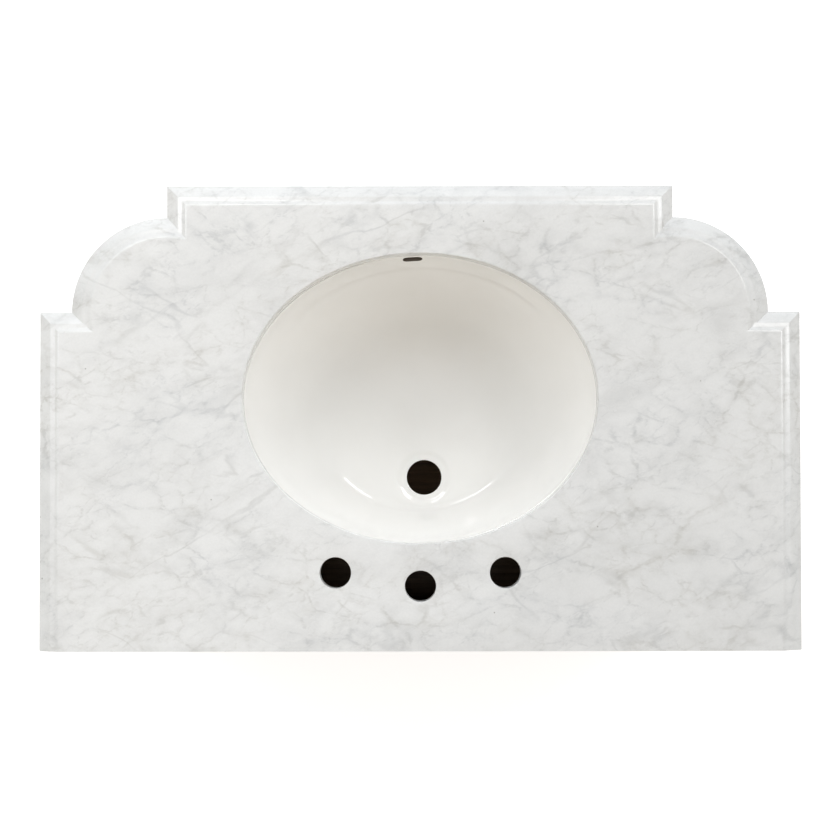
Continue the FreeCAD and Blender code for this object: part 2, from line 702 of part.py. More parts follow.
def basin_fixings():
    """Sealant bead, and the clips and bolts that hold the flange up to the top."""
    inner = [f"{size} / 2 + mouth_reveal + seal_inset" for size in ("bowl_length", "bowl_width")]
    outer = [f"{size} + seal_width" for size in inner]
    bead = cut(
        oval_column(*outer, ("0", "0", "0"), "seal_thickness"),
        oval_column(*inner, ("0", "0", "-overrun"), "seal_thickness + overrun * 2"),
    )
    node("basin_seal", hang(bead))
    clip_low = "-flange_thickness - clip_thickness"
    nut_low = f"{clip_low} - clip_nut_height"
    bolt_radius = "clip_bolt_diameter / 2"
    clips, bolts = [], []
    for angle in CLIP_ANGLES:
        x, y = clip_place(angle)
        plate = doc.addObject("Part::Box", "clip")
        plate.Placement = Placement(Vector(), Rotation(Vector(0, 0, 1), angle))
        inwards, half = "(clip_length - clip_nut_diameter)", "clip_width / 2"
        start_x = f"{x} - {inwards} * cos({angle}) + {half} * sin({angle})"
        start_y = f"{y} - {inwards} * sin({angle}) - {half} * cos({angle})"
        bind(plate, Length="clip_length", Width="clip_width", Height="clip_thickness")
        bind(plate, x=start_x, y=start_y, z=clip_low)
        hole_at = (x, y, f"{clip_low} - overrun")
        clips.append(cut(plate, cylinder(bolt_radius, "clip_thickness + overrun * 2", hole_at)))
        shank = cylinder(bolt_radius, f"clip_bolt_bite + seal_thickness - ({nut_low})", (x, y, nut_low))
        nut = cylinder("clip_nut_diameter / 2", "clip_nut_height", (x, y, nut_low))
        bolts.append(fuse(shank, nut))
    node("basin_clips", hang(group(*clips)))
    node("basin_clip_bolts", hang(group(*bolts)))


# Case

def posts_and_panels():
    """Posts, quarter-round corners, sides and partitions, from the deck up to the top."""
    rise = ("deck_top", "case_top")
    ear_posts, rear_posts, rails, partitions = [], [], [], []
    for word, side in SIDES.items():
        post = box(flip(("bay_inner", "bay_face"), side), ("case_front", "post_back"), rise)
        node(f"{word}_centre_post", post)

        centre = (f"{side} * bay_face", "ear_front", "deck_top")
        height = "case_top - deck_top"
        round_bar = cylinder("case_radius", height, centre)
        hollow_at = (centre[0], centre[1], "deck_top - overrun")
        hollow = cylinder("case_radius - panel_thickness", f"{height} + overrun * 2", hollow_at)
        corner_x = flip(("bay_face", "bay_face + case_radius"), side)
        quarter = box(corner_x, ("corner_end", "ear_front"), rise)
        node(f"{word}_corner_panel", cut(common(round_bar, quarter), hollow))

        ear_inner = "bay_face + case_radius - panel_thickness - ear_post_lap"
        ear_posts.append(box(flip((ear_inner, "ear_face"), side), ("ear_front", "ear_post_back"), rise))
        rear_x = flip(("ear_face - rear_post_width", "ear_face"), side)
        rear_posts.append(box(rear_x, ("rear_post_front", "case_back"), rise))

        span = ("ear_post_back", "rear_post_front")
        rail_x = flip(("ear_face - side_rail_thickness", "ear_face"), side)
        rails.append(box(rail_x, span, ("deck_top", "deck_top + side_rail_height")))
        rails.append(box(rail_x, span, ("case_top - side_rail_height", "case_top")))
        panel_outer = "ear_face - side_panel_inset"
        panel_x = flip((f"{panel_outer} - side_panel_thickness", panel_outer), side)
        panel_z = ("deck_top + side_rail_height", "case_top - side_rail_height")
        node(f"{word}_side_panel", box(panel_x, span, panel_z))

        partition_x = flip(("bay_inner", "bay_inner + partition_thickness"), side)
        partition = box(partition_x, ("post_back", "back_face"), rise)
        notch_y = ("case_back - hanging_rail_thickness", "case_back")
        notch_z = ("case_top - hanging_rail_height", "case_top + overrun")
        partitions.append(cut(partition, box(partition_x, notch_y, notch_z)))
    node("ear_posts", group(*ear_posts))
    node("rear_posts", group(*rear_posts))
    node("side_rails", group(*rails))
    node("partitions", group(*partitions))


def back():
    """Back panel with the pipe opening, and the rail that is screwed to the wall."""
    half = "ear_face - rear_post_width"
    panel = doc.addObject("PartDesign::Body", "back")
    height = "case_top - hanging_rail_height - deck_top"
    board = rectangle((f"-({half})", half), ("0", height))
    pad(panel, body_outline(panel, "XZ_Plane", board), "back_thickness")
    doc.recompute()
    sill = "cupboard_bottom + pipe_opening_sill - deck_top"
    opening_x = ("-pipe_opening_width / 2", "pipe_opening_width / 2")
    opening = rectangle(opening_x, (sill, f"{sill} + pipe_opening_height"))
    pocket_through(panel, body_outline(panel, "XZ_Plane", opening))
    node("back_panel", bind(panel, y="case_back", z="deck_top"))

    rail_y = ("case_back - hanging_rail_thickness", "case_back")
    rail = box((f"-({half})", half), rail_y, ("case_top - hanging_rail_height", "case_top"))
    hole_z = "case_top - hanging_rail_height / 2"
    hole_y = "case_back - hanging_rail_thickness - overrun"
    hole_length = "hanging_rail_thickness + overrun * 2"
    hole_ends = [(f"{sign} * wall_hole_spacing / 2", hole_y, hole_z) for sign in SIDES.values()]
    holes = [cylinder("wall_hole_diameter / 2", hole_length, at, "y") for at in hole_ends]
    node("hanging_rail", cut(rail, *holes))


def bead_frame(x, y, z):
    """A rectangular bead with a bevel on the inner side of its face."""
    low, high = (x[0], z[0]), (x[1], z[1])
    inner_x = (f"{low[0]} + bead_width", f"{high[0]} - bead_width")
    inner_z = (f"{low[1]} + bead_width", f"{high[1]} - bead_width")
    face_x = (f"{inner_x[0]} - bead_slope", f"{inner_x[1]} + bead_slope")
    face_z = (f"{inner_z[0]} - bead_slope", f"{inner_z[1]} + bead_slope")
    bevel_end = f"{y[0]} + bead_slope"
    bevel = wedge((y[0], bevel_end), (face_x, face_z), (inner_x, inner_z))
    through = box(inner_x, (f"{y[0]} - overrun", f"{y[1]} + overrun"), inner_z)
    return cut(box(x, y, z), bevel, through)


def front_rails():
    """Frieze, middle rail and cupboard floor."""
    across = ("-bay_inner", "bay_inner")
    rail_front = "case_front + frieze_front_thickness"
    rail_y = (rail_front, f"{rail_front} + frieze_rail_thickness")
    node("frieze_rail", box(across, rail_y, ("cupboard_top", "case_top")))
    node("frieze_front", box(across, ("case_front", rail_front), ("cupboard_top", "case_top")))
    bead_x = ("-bay_inner + bead_margin", "bay_inner - bead_margin")
    bead_z = ("cupboard_top + bead_margin", "cornice_bottom - bead_margin")
    node("frieze_bead", bead_frame(bead_x, ("case_front - bead_proud", "case_front"), bead_z))

    rail_back = "case_front + mid_rail_depth"
    node("mid_rail", box(across, ("case_front", rail_back), ("drawer_top", "cupboard_bottom")))
    floor_z = ("cupboard_bottom - cupboard_floor_thickness", "cupboard_bottom")
    node("cupboard_floor", box(across, (rail_back, "back_face"), floor_z))


def base():
    """Deck board, plinth, glue blocks and glides."""
    bay, rear, discs = moulded_course(OVOLO, case_plan("deck_reach"), "deck_bottom")
    node("deck", fuse(bay, rear, *discs))

    rise = ("glide_height", "deck_bottom")
    front = "case_front - plinth_reach"
    bay_outer = "bay_face + plinth_reach"
    ear_outer = "ear_face + plinth_reach"
    ear_line = "ear_front - plinth_reach"
    radius = "case_radius + plinth_reach"
    front_y = (front, f"{front} + plinth_thickness")
    node("plinth_front", box((f"-({bay_outer})", bay_outer), front_y, rise))
    back_x = f"{ear_outer} - plinth_thickness"
    node("plinth_back", box((f"-({back_x})", back_x), ("case_back - plinth_thickness", "case_back"), rise))

    sides, returns, corners, blocks, glides = [], [], [], [], []
    for side in SIDES.values():
        side_x = flip((back_x, ear_outer), side)
        sides.append(box(side_x, (ear_line, "case_back"), rise))
        return_x = flip((f"{bay_outer} - plinth_thickness", bay_outer), side)
        returns.append(box(return_x, (front_y[1], "ear_front"), rise))
        ear_inner = f"bay_face + {radius} - plinth_thickness"
        ear_y = (ear_line, f"{ear_line} + plinth_thickness")
        returns.append(box(flip((ear_inner, back_x), side), ear_y, rise))

        centre = (f"{side} * bay_face", "ear_front", "glide_height")
        disc = cylinder(radius, "plinth_height", centre)
        hollow_at = (centre[0], centre[1], "glide_height - overrun")
        hollow = cylinder(f"{radius} - plinth_thickness", "plinth_height + overrun * 2", hollow_at)
        corner_x = flip((bay_outer, f"bay_face + {radius}"), side)
        quarter = box(corner_x, (f"ear_front - ({radius})", ear_line), rise)
        corners.append(cut(common(disc, quarter), hollow))

        block_spots = (
            (f"{bay_outer} - plinth_thickness - block_size", front_y[1]),
            (f"{back_x} - block_size", ear_y[1]),
            (f"{back_x} - block_size", "case_back - plinth_thickness - block_size"),
        )
        for x, y in block_spots:
            block_x = flip((x, f"{x} + block_size"), side)
            blocks.append(box(block_x, (y, f"{y} + block_size"), rise))
            middle = (f"{side} * ({x} + block_size / 2)", f"{y} + block_size / 2", "0")
            glides.append(cylinder("glide_diameter / 2", "glide_height", middle))
    node("plinth_sides", group(*sides))
    node("plinth_returns", group(*returns))
    node("plinth_corners", group(*corners))
    node("plinth_blocks", group(*blocks))
    node("floor_glides", group(*glides))


def cornice():
    """The hollow moulding under the overhang of the top: bay, corners and sides."""
    bay, rear, discs = moulded_course(CAVETTO, case_plan("cornice_reach"), "cornice_bottom")
    case = plain_course(case_plan("0"), ("cornice_bottom - overrun", "case_top + overrun"))
    corners = [cut(disc, case, bay, rear) for disc in discs]
    node("cornice_bay", cut(bay, case, rear))
    node("cornice_sides", cut(rear, case))
    node("cornice_corners", group(*corners))


# Doors

def knob(x, y, z):
    """A turned knob that stands out of a front, towards -Y."""
    base, neck, head = "knob_base_diameter / 2", "knob_neck_diameter / 2", "knob_diameter / 2"
    head_foot = "knob_projection - knob_head_height"
    hollow = "knob_base_height / 2"
    crown = "(knob_head_height - knob_rim)"
    dome = f"(({head})^2 + {crown}^2) / (2 * {crown})"
    profile = [
        ("0", "0", None),
        (base, "0", None),
        (base, "knob_base_height / 2", None),
        (f"{neck} + {hollow}", "knob_base_height", (hollow, -1)),
        (neck, f"knob_base_height + {hollow}", None),
        (neck, f"{head_foot} - knob_rim / 2", None),
        (head, f"{head_foot} + knob_rim", (dome, 1)),
        ("0", "knob_projection", None),
    ]
    body = turned_body(profile)
    body.Placement = Placement(Vector(), TURNS["xz"])
    return bind(body, x=x, y=y, z=z)


def hinge_heights():
    """Lower ends of the two hinges of a door."""
    return ("door_bottom + hinge_inset", "door_top - hinge_inset - hinge_height")


def hinge_leaf(side, plate_x, low, knuckles):
    """One leaf: a plate in the gap beside the door, and its knuckles in front of the face."""
    high = f"{low} + hinge_height"
    plate = box(flip(plate_x, side), ("case_front", "case_front + hinge_reach"), (low, high))
    axis = (f"{side} * hinge_x", "hinge_y")
    pieces = [plate]
    for place in knuckles:
        start = f"{low} + (knuckle_height + knuckle_play) * {place}"
        pieces.append(cylinder("knuckle_diameter / 2", "knuckle_height", (*axis, start)))
        tab_y = ("hinge_y", "case_front")
        pieces.append(box(flip(plate_x, side), tab_y, (start, f"{start} + knuckle_height")))
    bore_radius = "pin_diameter / 2 + pin_play"
    bore = cylinder(bore_radius, "hinge_height + overrun * 2", (*axis, f"{low} - overrun"))
    return cut(fuse(*pieces), bore)


def hinges():
    """The case leaves and the pins of all four hinges."""
    leaves, pins = [], []
    for side in SIDES.values():
        for low in hinge_heights():
            leaves.append(hinge_leaf(side, ("bay_inner - hinge_leaf", "bay_inner"), low, (0, 2)))
            axis = (f"{side} * hinge_x", "hinge_y")
            shank = cylinder("pin_diameter / 2", "hinge_height", (*axis, low))
            head_at = (*axis, f"{low} + hinge_height")
            head = cylinder("knuckle_diameter / 2", "pin_head_height", head_at)
            pins.append(fuse(shank, head))
    node("hinge_case_leaves", group(*leaves))
    node("hinge_pins", group(*pins))


def door(word, side):
    """A framed door with a raised panel, a bead, a knob, hinge leaves and a strike plate."""
    thick = ("case_front", "door_back")
    groove_y = ("groove_front", "groove_back")
    high = ("door_bottom", "door_top")
    stiles = []
    for x, groove_x in (
        (("door_inner", "panel_left"), ("panel_left - groove_depth", "panel_left")),
        (("panel_right", "door_outer"), ("panel_right", "panel_right + groove_depth")),
    ):
        stiles.append(cut(box(flip(x, side), thick, high), box(flip(groove_x, side), groove_y, high)))
    node(f"{word}_door_stiles", group(*stiles))

    between = flip(("panel_left", "panel_right"), side)
    tenon_x = flip(("panel_left - groove_depth", "panel_right + groove_depth"), side)
    rails = []
    for z, groove in (
        (("door_bottom", "panel_low"), ("panel_low - groove_depth", "panel_low")),
        (("panel_high", "door_top"), ("panel_high", "panel_high + groove_depth")),
    ):
        shouldered = fuse(box(between, thick, z), box(tenon_x, groove_y, z))
        rails.append(cut(shouldered, box(tenon_x, groove_y, groove)))
    node(f"{word}_door_rails", group(*rails))

    tongue = "groove_depth - panel_play"
    panel_x = flip((f"panel_left - ({tongue})", f"panel_right + ({tongue})"), side)
    board = box(panel_x, groove_y, (f"panel_low - ({tongue})", f"panel_high + ({tongue})"))
    foot_x = flip(("panel_left + bead_width", "panel_right - bead_width"), side)
    foot_z = ("panel_low + bead_width", "panel_high - bead_width")
    field_x = (f"{foot_x[0]} + panel_bevel", f"{foot_x[1]} - panel_bevel")
    field_z = (f"{foot_z[0]} + panel_bevel", f"{foot_z[1]} - panel_bevel")
    raised = wedge(("groove_front - panel_raise", "groove_front"), (field_x, field_z), (foot_x, foot_z))
    node(f"{word}_door_panel", fuse(board, raised))
    bead_y = ("case_front + bead_setback", "groove_front")
    node(f"{word}_door_bead", bead_frame(between, bead_y, ("panel_low", "panel_high")))

    knob_x = f"{side} * (door_inner + stile_width / 2)"
    node(f"{word}_door_knob", knob(knob_x, "case_front", "(door_bottom + door_top) / 2"))
    plate_x = ("door_outer", "door_outer + hinge_leaf")
    leaves = [hinge_leaf(side, plate_x, low, (1,)) for low in hinge_heights()]
    node(f"{word}_door_hinge_leaves", group(*leaves))
    strike_start = "(catch_width / 2 - strike_width) / 2"
    strike_x = flip((strike_start, f"{strike_start} + strike_width"), side)
    strike_top = "cupboard_top - (catch_drop - strike_height) / 2 - door_gap"
    strike_z = (f"{strike_top} - strike_height", strike_top)
    node(f"{word}_door_strike", box(strike_x, ("door_back", "door_back + strike_thickness"), strike_z))


def catch():
    """The double magnetic catch behind the frieze rail."""
    half = "catch_width / 2"
    across = (f"-({half})", half)
    rail_back = "case_front + frieze_front_thickness + frieze_rail_thickness"
    magnet_front = "door_back + strike_thickness + catch_play"
    magnet_back = f"{rail_back} + catch_depth"
    drop = ("cupboard_top - catch_drop", "cupboard_top")
    magnets = box(across, (magnet_front, magnet_back), (drop[0], f"{drop[1]} - door_gap"))
    plate_y = (rail_back, f"{rail_back} + catch_plate_thickness")
    plate = box(across, plate_y, (f"{drop[1]} - door_gap", f"{drop[1]} + catch_plate_height"))
    node("magnetic_catch", fuse(magnets, plate))


# Drawer

def drawer():
    """The drawer box with its inset front."""
    front_half = "bay_inner - door_gap"
    front_z = ("drawer_front_bottom", "drawer_front_top")
    node("drawer_front", box((f"-({front_half})", front_half), ("case_front", "door_back"), front_z))
    margin = ("-bay_inner + bead_margin", "bay_inner - bead_margin")
    bead_z = ("drawer_front_bottom + bead_margin", "drawer_front_top - bead_margin")
    node("drawer_bead", bead_frame(margin, ("case_front - bead_proud", "case_front"), bead_z))
    middle = "(drawer_front_bottom + drawer_front_top) / 2"
    knobs = [knob(f"{sign} * drawer_knob_spacing / 2", "case_front", middle) for sign in SIDES.values()]
    node("drawer_knobs", group(*knobs))

    inner = "drawer_half - drawer_side_thickness"
    depth = ("door_back", "drawer_box_back")
    height = ("drawer_box_bottom", "drawer_box_bottom + drawer_side_height")
    bottom_low = "drawer_box_bottom + drawer_bottom_rise"
    bottom_z = (bottom_low, f"{bottom_low} + drawer_bottom_thickness")
    bottom_half = f"{inner} + drawer_bottom_bite"
    bottom_x = (f"-({bottom_half})", bottom_half)
    bottom_y = ("door_back", "drawer_box_back - drawer_side_thickness + drawer_bottom_bite")
    sides = [
        cut(box(flip((inner, "drawer_half"), side), depth, height), box(bottom_x, bottom_y, bottom_z))
        for side in SIDES.values()
    ]
    node("drawer_sides", group(*sides))
    back_y = ("drawer_box_back - drawer_side_thickness", "drawer_box_back")
    back_board = box((f"-({inner})", inner), back_y, height)
    node("drawer_back", cut(back_board, box(bottom_x, bottom_y, bottom_z)))
    node("drawer_bottom", box(bottom_x, bottom_y, bottom_z))


def channel_corners(side, web, tip, half):
    """Outline of a slide member: a web and two flanges, in plan limits from the partition inwards."""
    web_inner = f"{web} + slide_metal" if web != "slide_width" else f"{web} - slide_metal"
    corners = [
        (web, f"-({half})", None), (tip, f"-({half})", None),
        (tip, f"-({half}) + slide_metal", None), (web_inner, f"-({half}) + slide_metal", None),
        (web_inner, f"{half} - slide_metal", None), (tip, f"{half} - slide_metal", None),
        (tip, half, None), (web, half, None),
    ]
    opens_left = web == "slide_width"
    if opens_left:
        corners = [(u, v, None) for u, v, _ in reversed(corners)]
    if side > 0:
        corners = [(f"-({u})" if u != "0" else u, v, None) for u, v, _ in reversed(corners)]
    return corners


def slides():
    """Telescopic slides in three members between the partitions and the drawer sides."""
    outer_half = "slide_height / 2"
    middle_half = f"{outer_half} - slide_metal - slide_play"
    inner_half = f"{middle_half} - slide_metal - slide_play"
    web_step = "slide_metal + slide_play"
    members = (
        ("drawer_slide_outer", "0", f"slide_width - {web_step} * 2", outer_half),
        ("drawer_slide_middle", web_step, f"slide_width - {web_step}", middle_half),
        ("drawer_slide_inner", "slide_width", f"({web_step}) * 2", inner_half),
    )
    for label, web, tip, half in members:
        pair = []
        for side in SIDES.values():
            body = doc.addObject("PartDesign::Body", "slide")
            profile = body_outline(body, "XZ_Plane", channel_corners(side, web, tip, half))
            pad(body, profile, "slide_length", reverse=True)
            pair.append(bind(body, x=f"{side} * bay_inner", y="door_back", z="slide_middle_height"))
        node(label, group(*pair))


# Assembly

def write_out():
    """Checks every object and writes each sub-part to its own file."""
    doc.recompute()
    for thing in doc.Objects:
        if {"Invalid", "Error"} & set(thing.State):
            raise RuntimeError(f"{thing.Name} ({thing.Label}) failed: {thing.State}")
    os.makedirs("parts", exist_ok=True)
    for thing in nodes:
        shape = thing.Shape
        if shape.isNull() or not shape.isValid() or not shape.Solids:
            raise RuntimeError(f"{thing.Label} has no valid solid")
        shape.exportStep(f"parts/{thing.Label}.step")
    print(f"{len(nodes)} sub-parts, {sum(len(thing.Shape.Solids) for thing in nodes)} solids")


marble_top()
basin()
basin_fixings()
posts_and_panels()
back()
front_rails()
base()
cornice()
hinges()
for word, side in SIDES.items():
    door(word, side)
catch()
drawer()
slides()
write_out()
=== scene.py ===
"""Looks of a sink chest: a white stone top with an ogee edge, an oval china basin hung below its
cut-out, and a breakfront walnut chest with two doors and a drawer.

Metres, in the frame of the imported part: +Z is up, the front faces -Y and the floor is at z = 0.
"""

import logging
import math
from dataclasses import dataclass
from enum import Enum
from typing import Optional, Sequence, Union

import bmesh
import bpy
import numpy as np
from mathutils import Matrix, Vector
from mathutils.geometry import delaunay_2d_cdt


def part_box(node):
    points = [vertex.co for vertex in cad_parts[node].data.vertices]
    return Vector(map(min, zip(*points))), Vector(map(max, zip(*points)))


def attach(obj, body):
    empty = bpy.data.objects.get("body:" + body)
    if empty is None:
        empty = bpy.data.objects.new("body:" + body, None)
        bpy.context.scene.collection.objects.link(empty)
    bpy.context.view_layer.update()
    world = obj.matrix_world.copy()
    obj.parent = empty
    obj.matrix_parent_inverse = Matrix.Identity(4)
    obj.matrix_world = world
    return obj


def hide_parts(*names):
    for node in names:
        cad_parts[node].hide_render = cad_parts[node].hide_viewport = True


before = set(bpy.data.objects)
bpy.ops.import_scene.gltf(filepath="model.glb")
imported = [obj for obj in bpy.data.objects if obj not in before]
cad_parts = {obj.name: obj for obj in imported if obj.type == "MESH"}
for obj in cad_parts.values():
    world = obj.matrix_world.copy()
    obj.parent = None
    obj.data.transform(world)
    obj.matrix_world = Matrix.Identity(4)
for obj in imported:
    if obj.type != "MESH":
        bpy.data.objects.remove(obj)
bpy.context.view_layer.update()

LOG = logging.getLogger("sink_chest")
MM = 0.001
MERGE = 0.002 * MM
LEVEL = math.radians(0.5)
CREASE = math.radians(32)
EASE_FACES = 2
INSIDE_WITH_HOLES = 2
PLAN_GAP = 1e-7
GRAIN = "grain"
# Name of the face mask that takes painted shade inside the basin's holes.
HOLE_SHADE = "hole_shade"
# Ends of the range in which a board is shifted in its log: along it, across it, and from its pith.
LOG_LOW = (-4.0, -0.03, 0.035)
LOG_HIGH = (4.0, 0.03, 0.085)

Array = np.ndarray
Colour = tuple[float, float, float, float]
Value = Union[bpy.types.NodeSocket, float, Sequence[float]]


def srgb(red: int, green: int, blue: int) -> Colour:
    """A colour in the linear values that shaders take.

    Args:
        red: red as written for screens, from 0 to 255.
        green: green in the same way.
        blue: blue in the same way.

    Returns:
        The linear colour, without transparency.
    """
    shares = [value / 255 for value in (red, green, blue)]
    linear = [s / 12.92 if s <= 0.04045 else ((s + 0.055) / 1.055) ** 2.4 for s in shares]
    return (*linear, 1.0)


class Slot(Enum):
    """Material slots of the record."""

    STONE = "stone"
    CHINA = "china"
    SEALANT = "sealant"
    WALNUT = "walnut"
    INNER_WOOD = "inner_wood"
    BRASS = "brass"
    STEEL = "steel"
    PLASTIC = "plastic"


class Body(Enum):
    """Bodies that pieces ride on."""

    CHEST = "chest"
    LEFT_DOOR = "left_door"
    RIGHT_DOOR = "right_door"
    DRAWER = "drawer"
    SLIDE_MIDDLE = "slide_middle"


class Axis(Enum):
    """Directions in which the grain of a board can run."""

    X = 0
    Y = 1
    Z = 2


class Side(Enum):
    """Sides of the chest, as seen by someone who stands in front of it."""

    LEFT = "left"
    RIGHT = "right"


class Stretch(Enum):
    """Stretches of the breakfront plan."""

    SIDES = "sides"
    CORNERS = "corners"
    BAY = "bay"


def placed(name: str, data: bpy.types.ID) -> bpy.types.Object:
    """Puts a new object at the origin of the scene.

    Args:
        name: name of the object.
        data: its mesh, lamp or camera.

    Returns:
        The object.
    """
    thing = bpy.data.objects.new(name, data)
    bpy.context.scene.collection.objects.link(thing)
    return thing


def number_of(node: str) -> int:
    """A number worked out from the name of a node."""
    return sum(node.encode())


def log_shift(node: str, length: int, pith: float) -> tuple[float, float, float]:
    """Where in the log a node was cut: its offset along it, and its distance from the pith."""
    return (number_of(node) % length, 0.0, pith)


class Shader:
    """The nodes of a material or a sky, with short calls for those that the finishes share."""

    def __init__(self, owner: Union[bpy.types.Material, bpy.types.World]) -> None:
        """Opens the owner's nodes and finds its surface or background shader.

        Args:
            owner: the material or the sky.
        """
        owner.use_nodes = True
        self.nodes = owner.node_tree.nodes
        self.links = owner.node_tree.links
        self.surface = self.nodes.get("Principled BSDF") or self.nodes["Background"]

    def feed(self, node: bpy.types.Node, inputs: dict[Union[str, int], Value]) -> bpy.types.Node:
        """Links sockets to a node's inputs, or sets plain values on them.

        Args:
            node: the node to feed.
            inputs: values or sockets by the name or number of the input.

        Returns:
            The same node.
        """
        for name, value in inputs.items():
            if isinstance(value, bpy.types.NodeSocket):
                self.links.new(value, node.inputs[name])
            else:
                node.inputs[name].default_value = value
        return node

    def add(self, kind: str, inputs: dict[Union[str, int], Value], **settings: object) -> bpy.types.Node:
        """Adds a node.

        Args:
            kind: the node's type without its common prefix.
            inputs: what its inputs are fed.
            settings: the node's own properties.

        Returns:
            The new node.
        """
        node = self.nodes.new("ShaderNode" + kind)
        for name, value in settings.items():
            setattr(node, name, value)
        return self.feed(node, inputs)

    def place(self, scale: Sequence[float] = (1, 1, 1), turn: float = 0.0,
              shift: Sequence[float] = (0, 0, 0)) -> bpy.types.NodeSocket:
        """Object coordinates, turned, then scaled and shifted.

        Args:
            scale: factor along each axis.
            turn: angle about Z, in degrees.
            shift: offset along each axis.

        Returns:
            The socket of the coordinates.
        """
        where = self.add("TexCoord", {}).outputs["Object"]
        turned = self.add("Mapping", {"Vector": where, "Rotation": (0, 0, math.radians(turn))})
        inputs = {"Vector": turned.outputs[0], "Scale": scale, "Location": shift}
        return self.add("Mapping", inputs).outputs[0]

    def along_grain(self, scale: Sequence[float]) -> bpy.types.NodeSocket:
        """The piece's own grain coordinates (along, across, through), scaled."""
        where = self.add("Attribute", {}, attribute_name=GRAIN).outputs["Vector"]
        return self.add("Mapping", {"Vector": where, "Scale": scale}).outputs[0]

    def noise(self, at: Value, scale: float, detail: float = 4.0, roughness: float = 0.5,
              colour: bool = False) -> bpy.types.NodeSocket:
        """Soft noise at a place, as one value or as three."""
        inputs = {"Vector": at, "Scale": scale, "Detail": detail, "Roughness": roughness}
        return self.add("TexNoise", inputs).outputs["Color" if colour else "Fac"]

    def sway(self, at: Value, scale: float, reach: float, detail: float) -> bpy.types.NodeSocket:
        """A place moved by noise: the place plus the noise, less a half, times the reach.

        Args:
            at: the place.
            scale: scale of the noise.
            reach: how far the noise can move it, from end to end.
            detail: octaves of the noise.

        Returns:
            The socket of the moved place.
        """
        noise = self.noise(at, scale, detail, colour=True)
        centred = self.add("VectorMath", {0: noise, 1: (0.5, 0.5, 0.5)}, operation="SUBTRACT")
        inputs = {0: centred.outputs[0], 1: (reach, reach, reach), 2: at}
        return self.add("VectorMath", inputs, operation="MULTIPLY_ADD").outputs[0]

    def math(self, operation: str, first: Value, second: Value = 0.0) -> bpy.types.NodeSocket:
        """One arithmetic step, kept between 0 and 1."""
        node = self.add("Math", {0: first, 1: second}, operation=operation, use_clamp=True)
        return node.outputs[0]

    def smooth(self, value: Value, low: float, high: float, first: float = 0.0,
               last: float = 1.0) -> bpy.types.NodeSocket:
        """A smooth step of a value, from first at low to last at high."""
        inputs = {"Value": value, "From Min": low, "From Max": high, "To Min": first, "To Max": last}
        return self.add("MapRange", inputs, interpolation_type="SMOOTHSTEP").outputs["Result"]

    def blend(self, share: Value, first: Value, second: Value, kind: str = "MIX") -> bpy.types.NodeSocket:
        """Two colours mixed by a share."""
        inputs = {0: share, 6: first, 7: second}
        return self.add("Mix", inputs, data_type="RGBA", blend_type=kind).outputs[2]

    def ramp(self, value: Value, *stops: tuple[float, Colour]) -> bpy.types.NodeSocket:
        """A colour ramp.

        Args:
            value: what the ramp reads.
            stops: place and colour of each stop, in order.

        Returns:
            The socket of the colour.
        """
        node = self.add("ValToRGB", {"Fac": value})
        elements = node.color_ramp.elements
        while len(elements) < len(stops):
            elements.new(1.0)
        for element, (position, colour) in zip(elements, stops):
            element.position = position
            element.color = colour
        return node.outputs["Color"]

    def bump(self, height: Value, distance: float, strength: float) -> bpy.types.NodeSocket:
        """A bumped normal, with the depth of the relief in metres."""
        inputs = {"Height": height, "Distance": distance, "Strength": strength}
        return self.add("Bump", inputs).outputs["Normal"]


@dataclass(frozen=True)
class Finish:
    """A finish with a name, whose material is made once."""

    name: str

    def shade(self, shader: Shader) -> None:
        """Fills in the nodes of the material."""
        raise NotImplementedError

    def material(self) -> bpy.types.Material:
        """Makes the material of this finish, or finds it where it was made before.

        Returns:
            The material.
        """
        made = bpy.data.materials.get(self.name)
        if made is None:
            made = bpy.data.materials.new(self.name)
            self.shade(Shader(made))
        return made


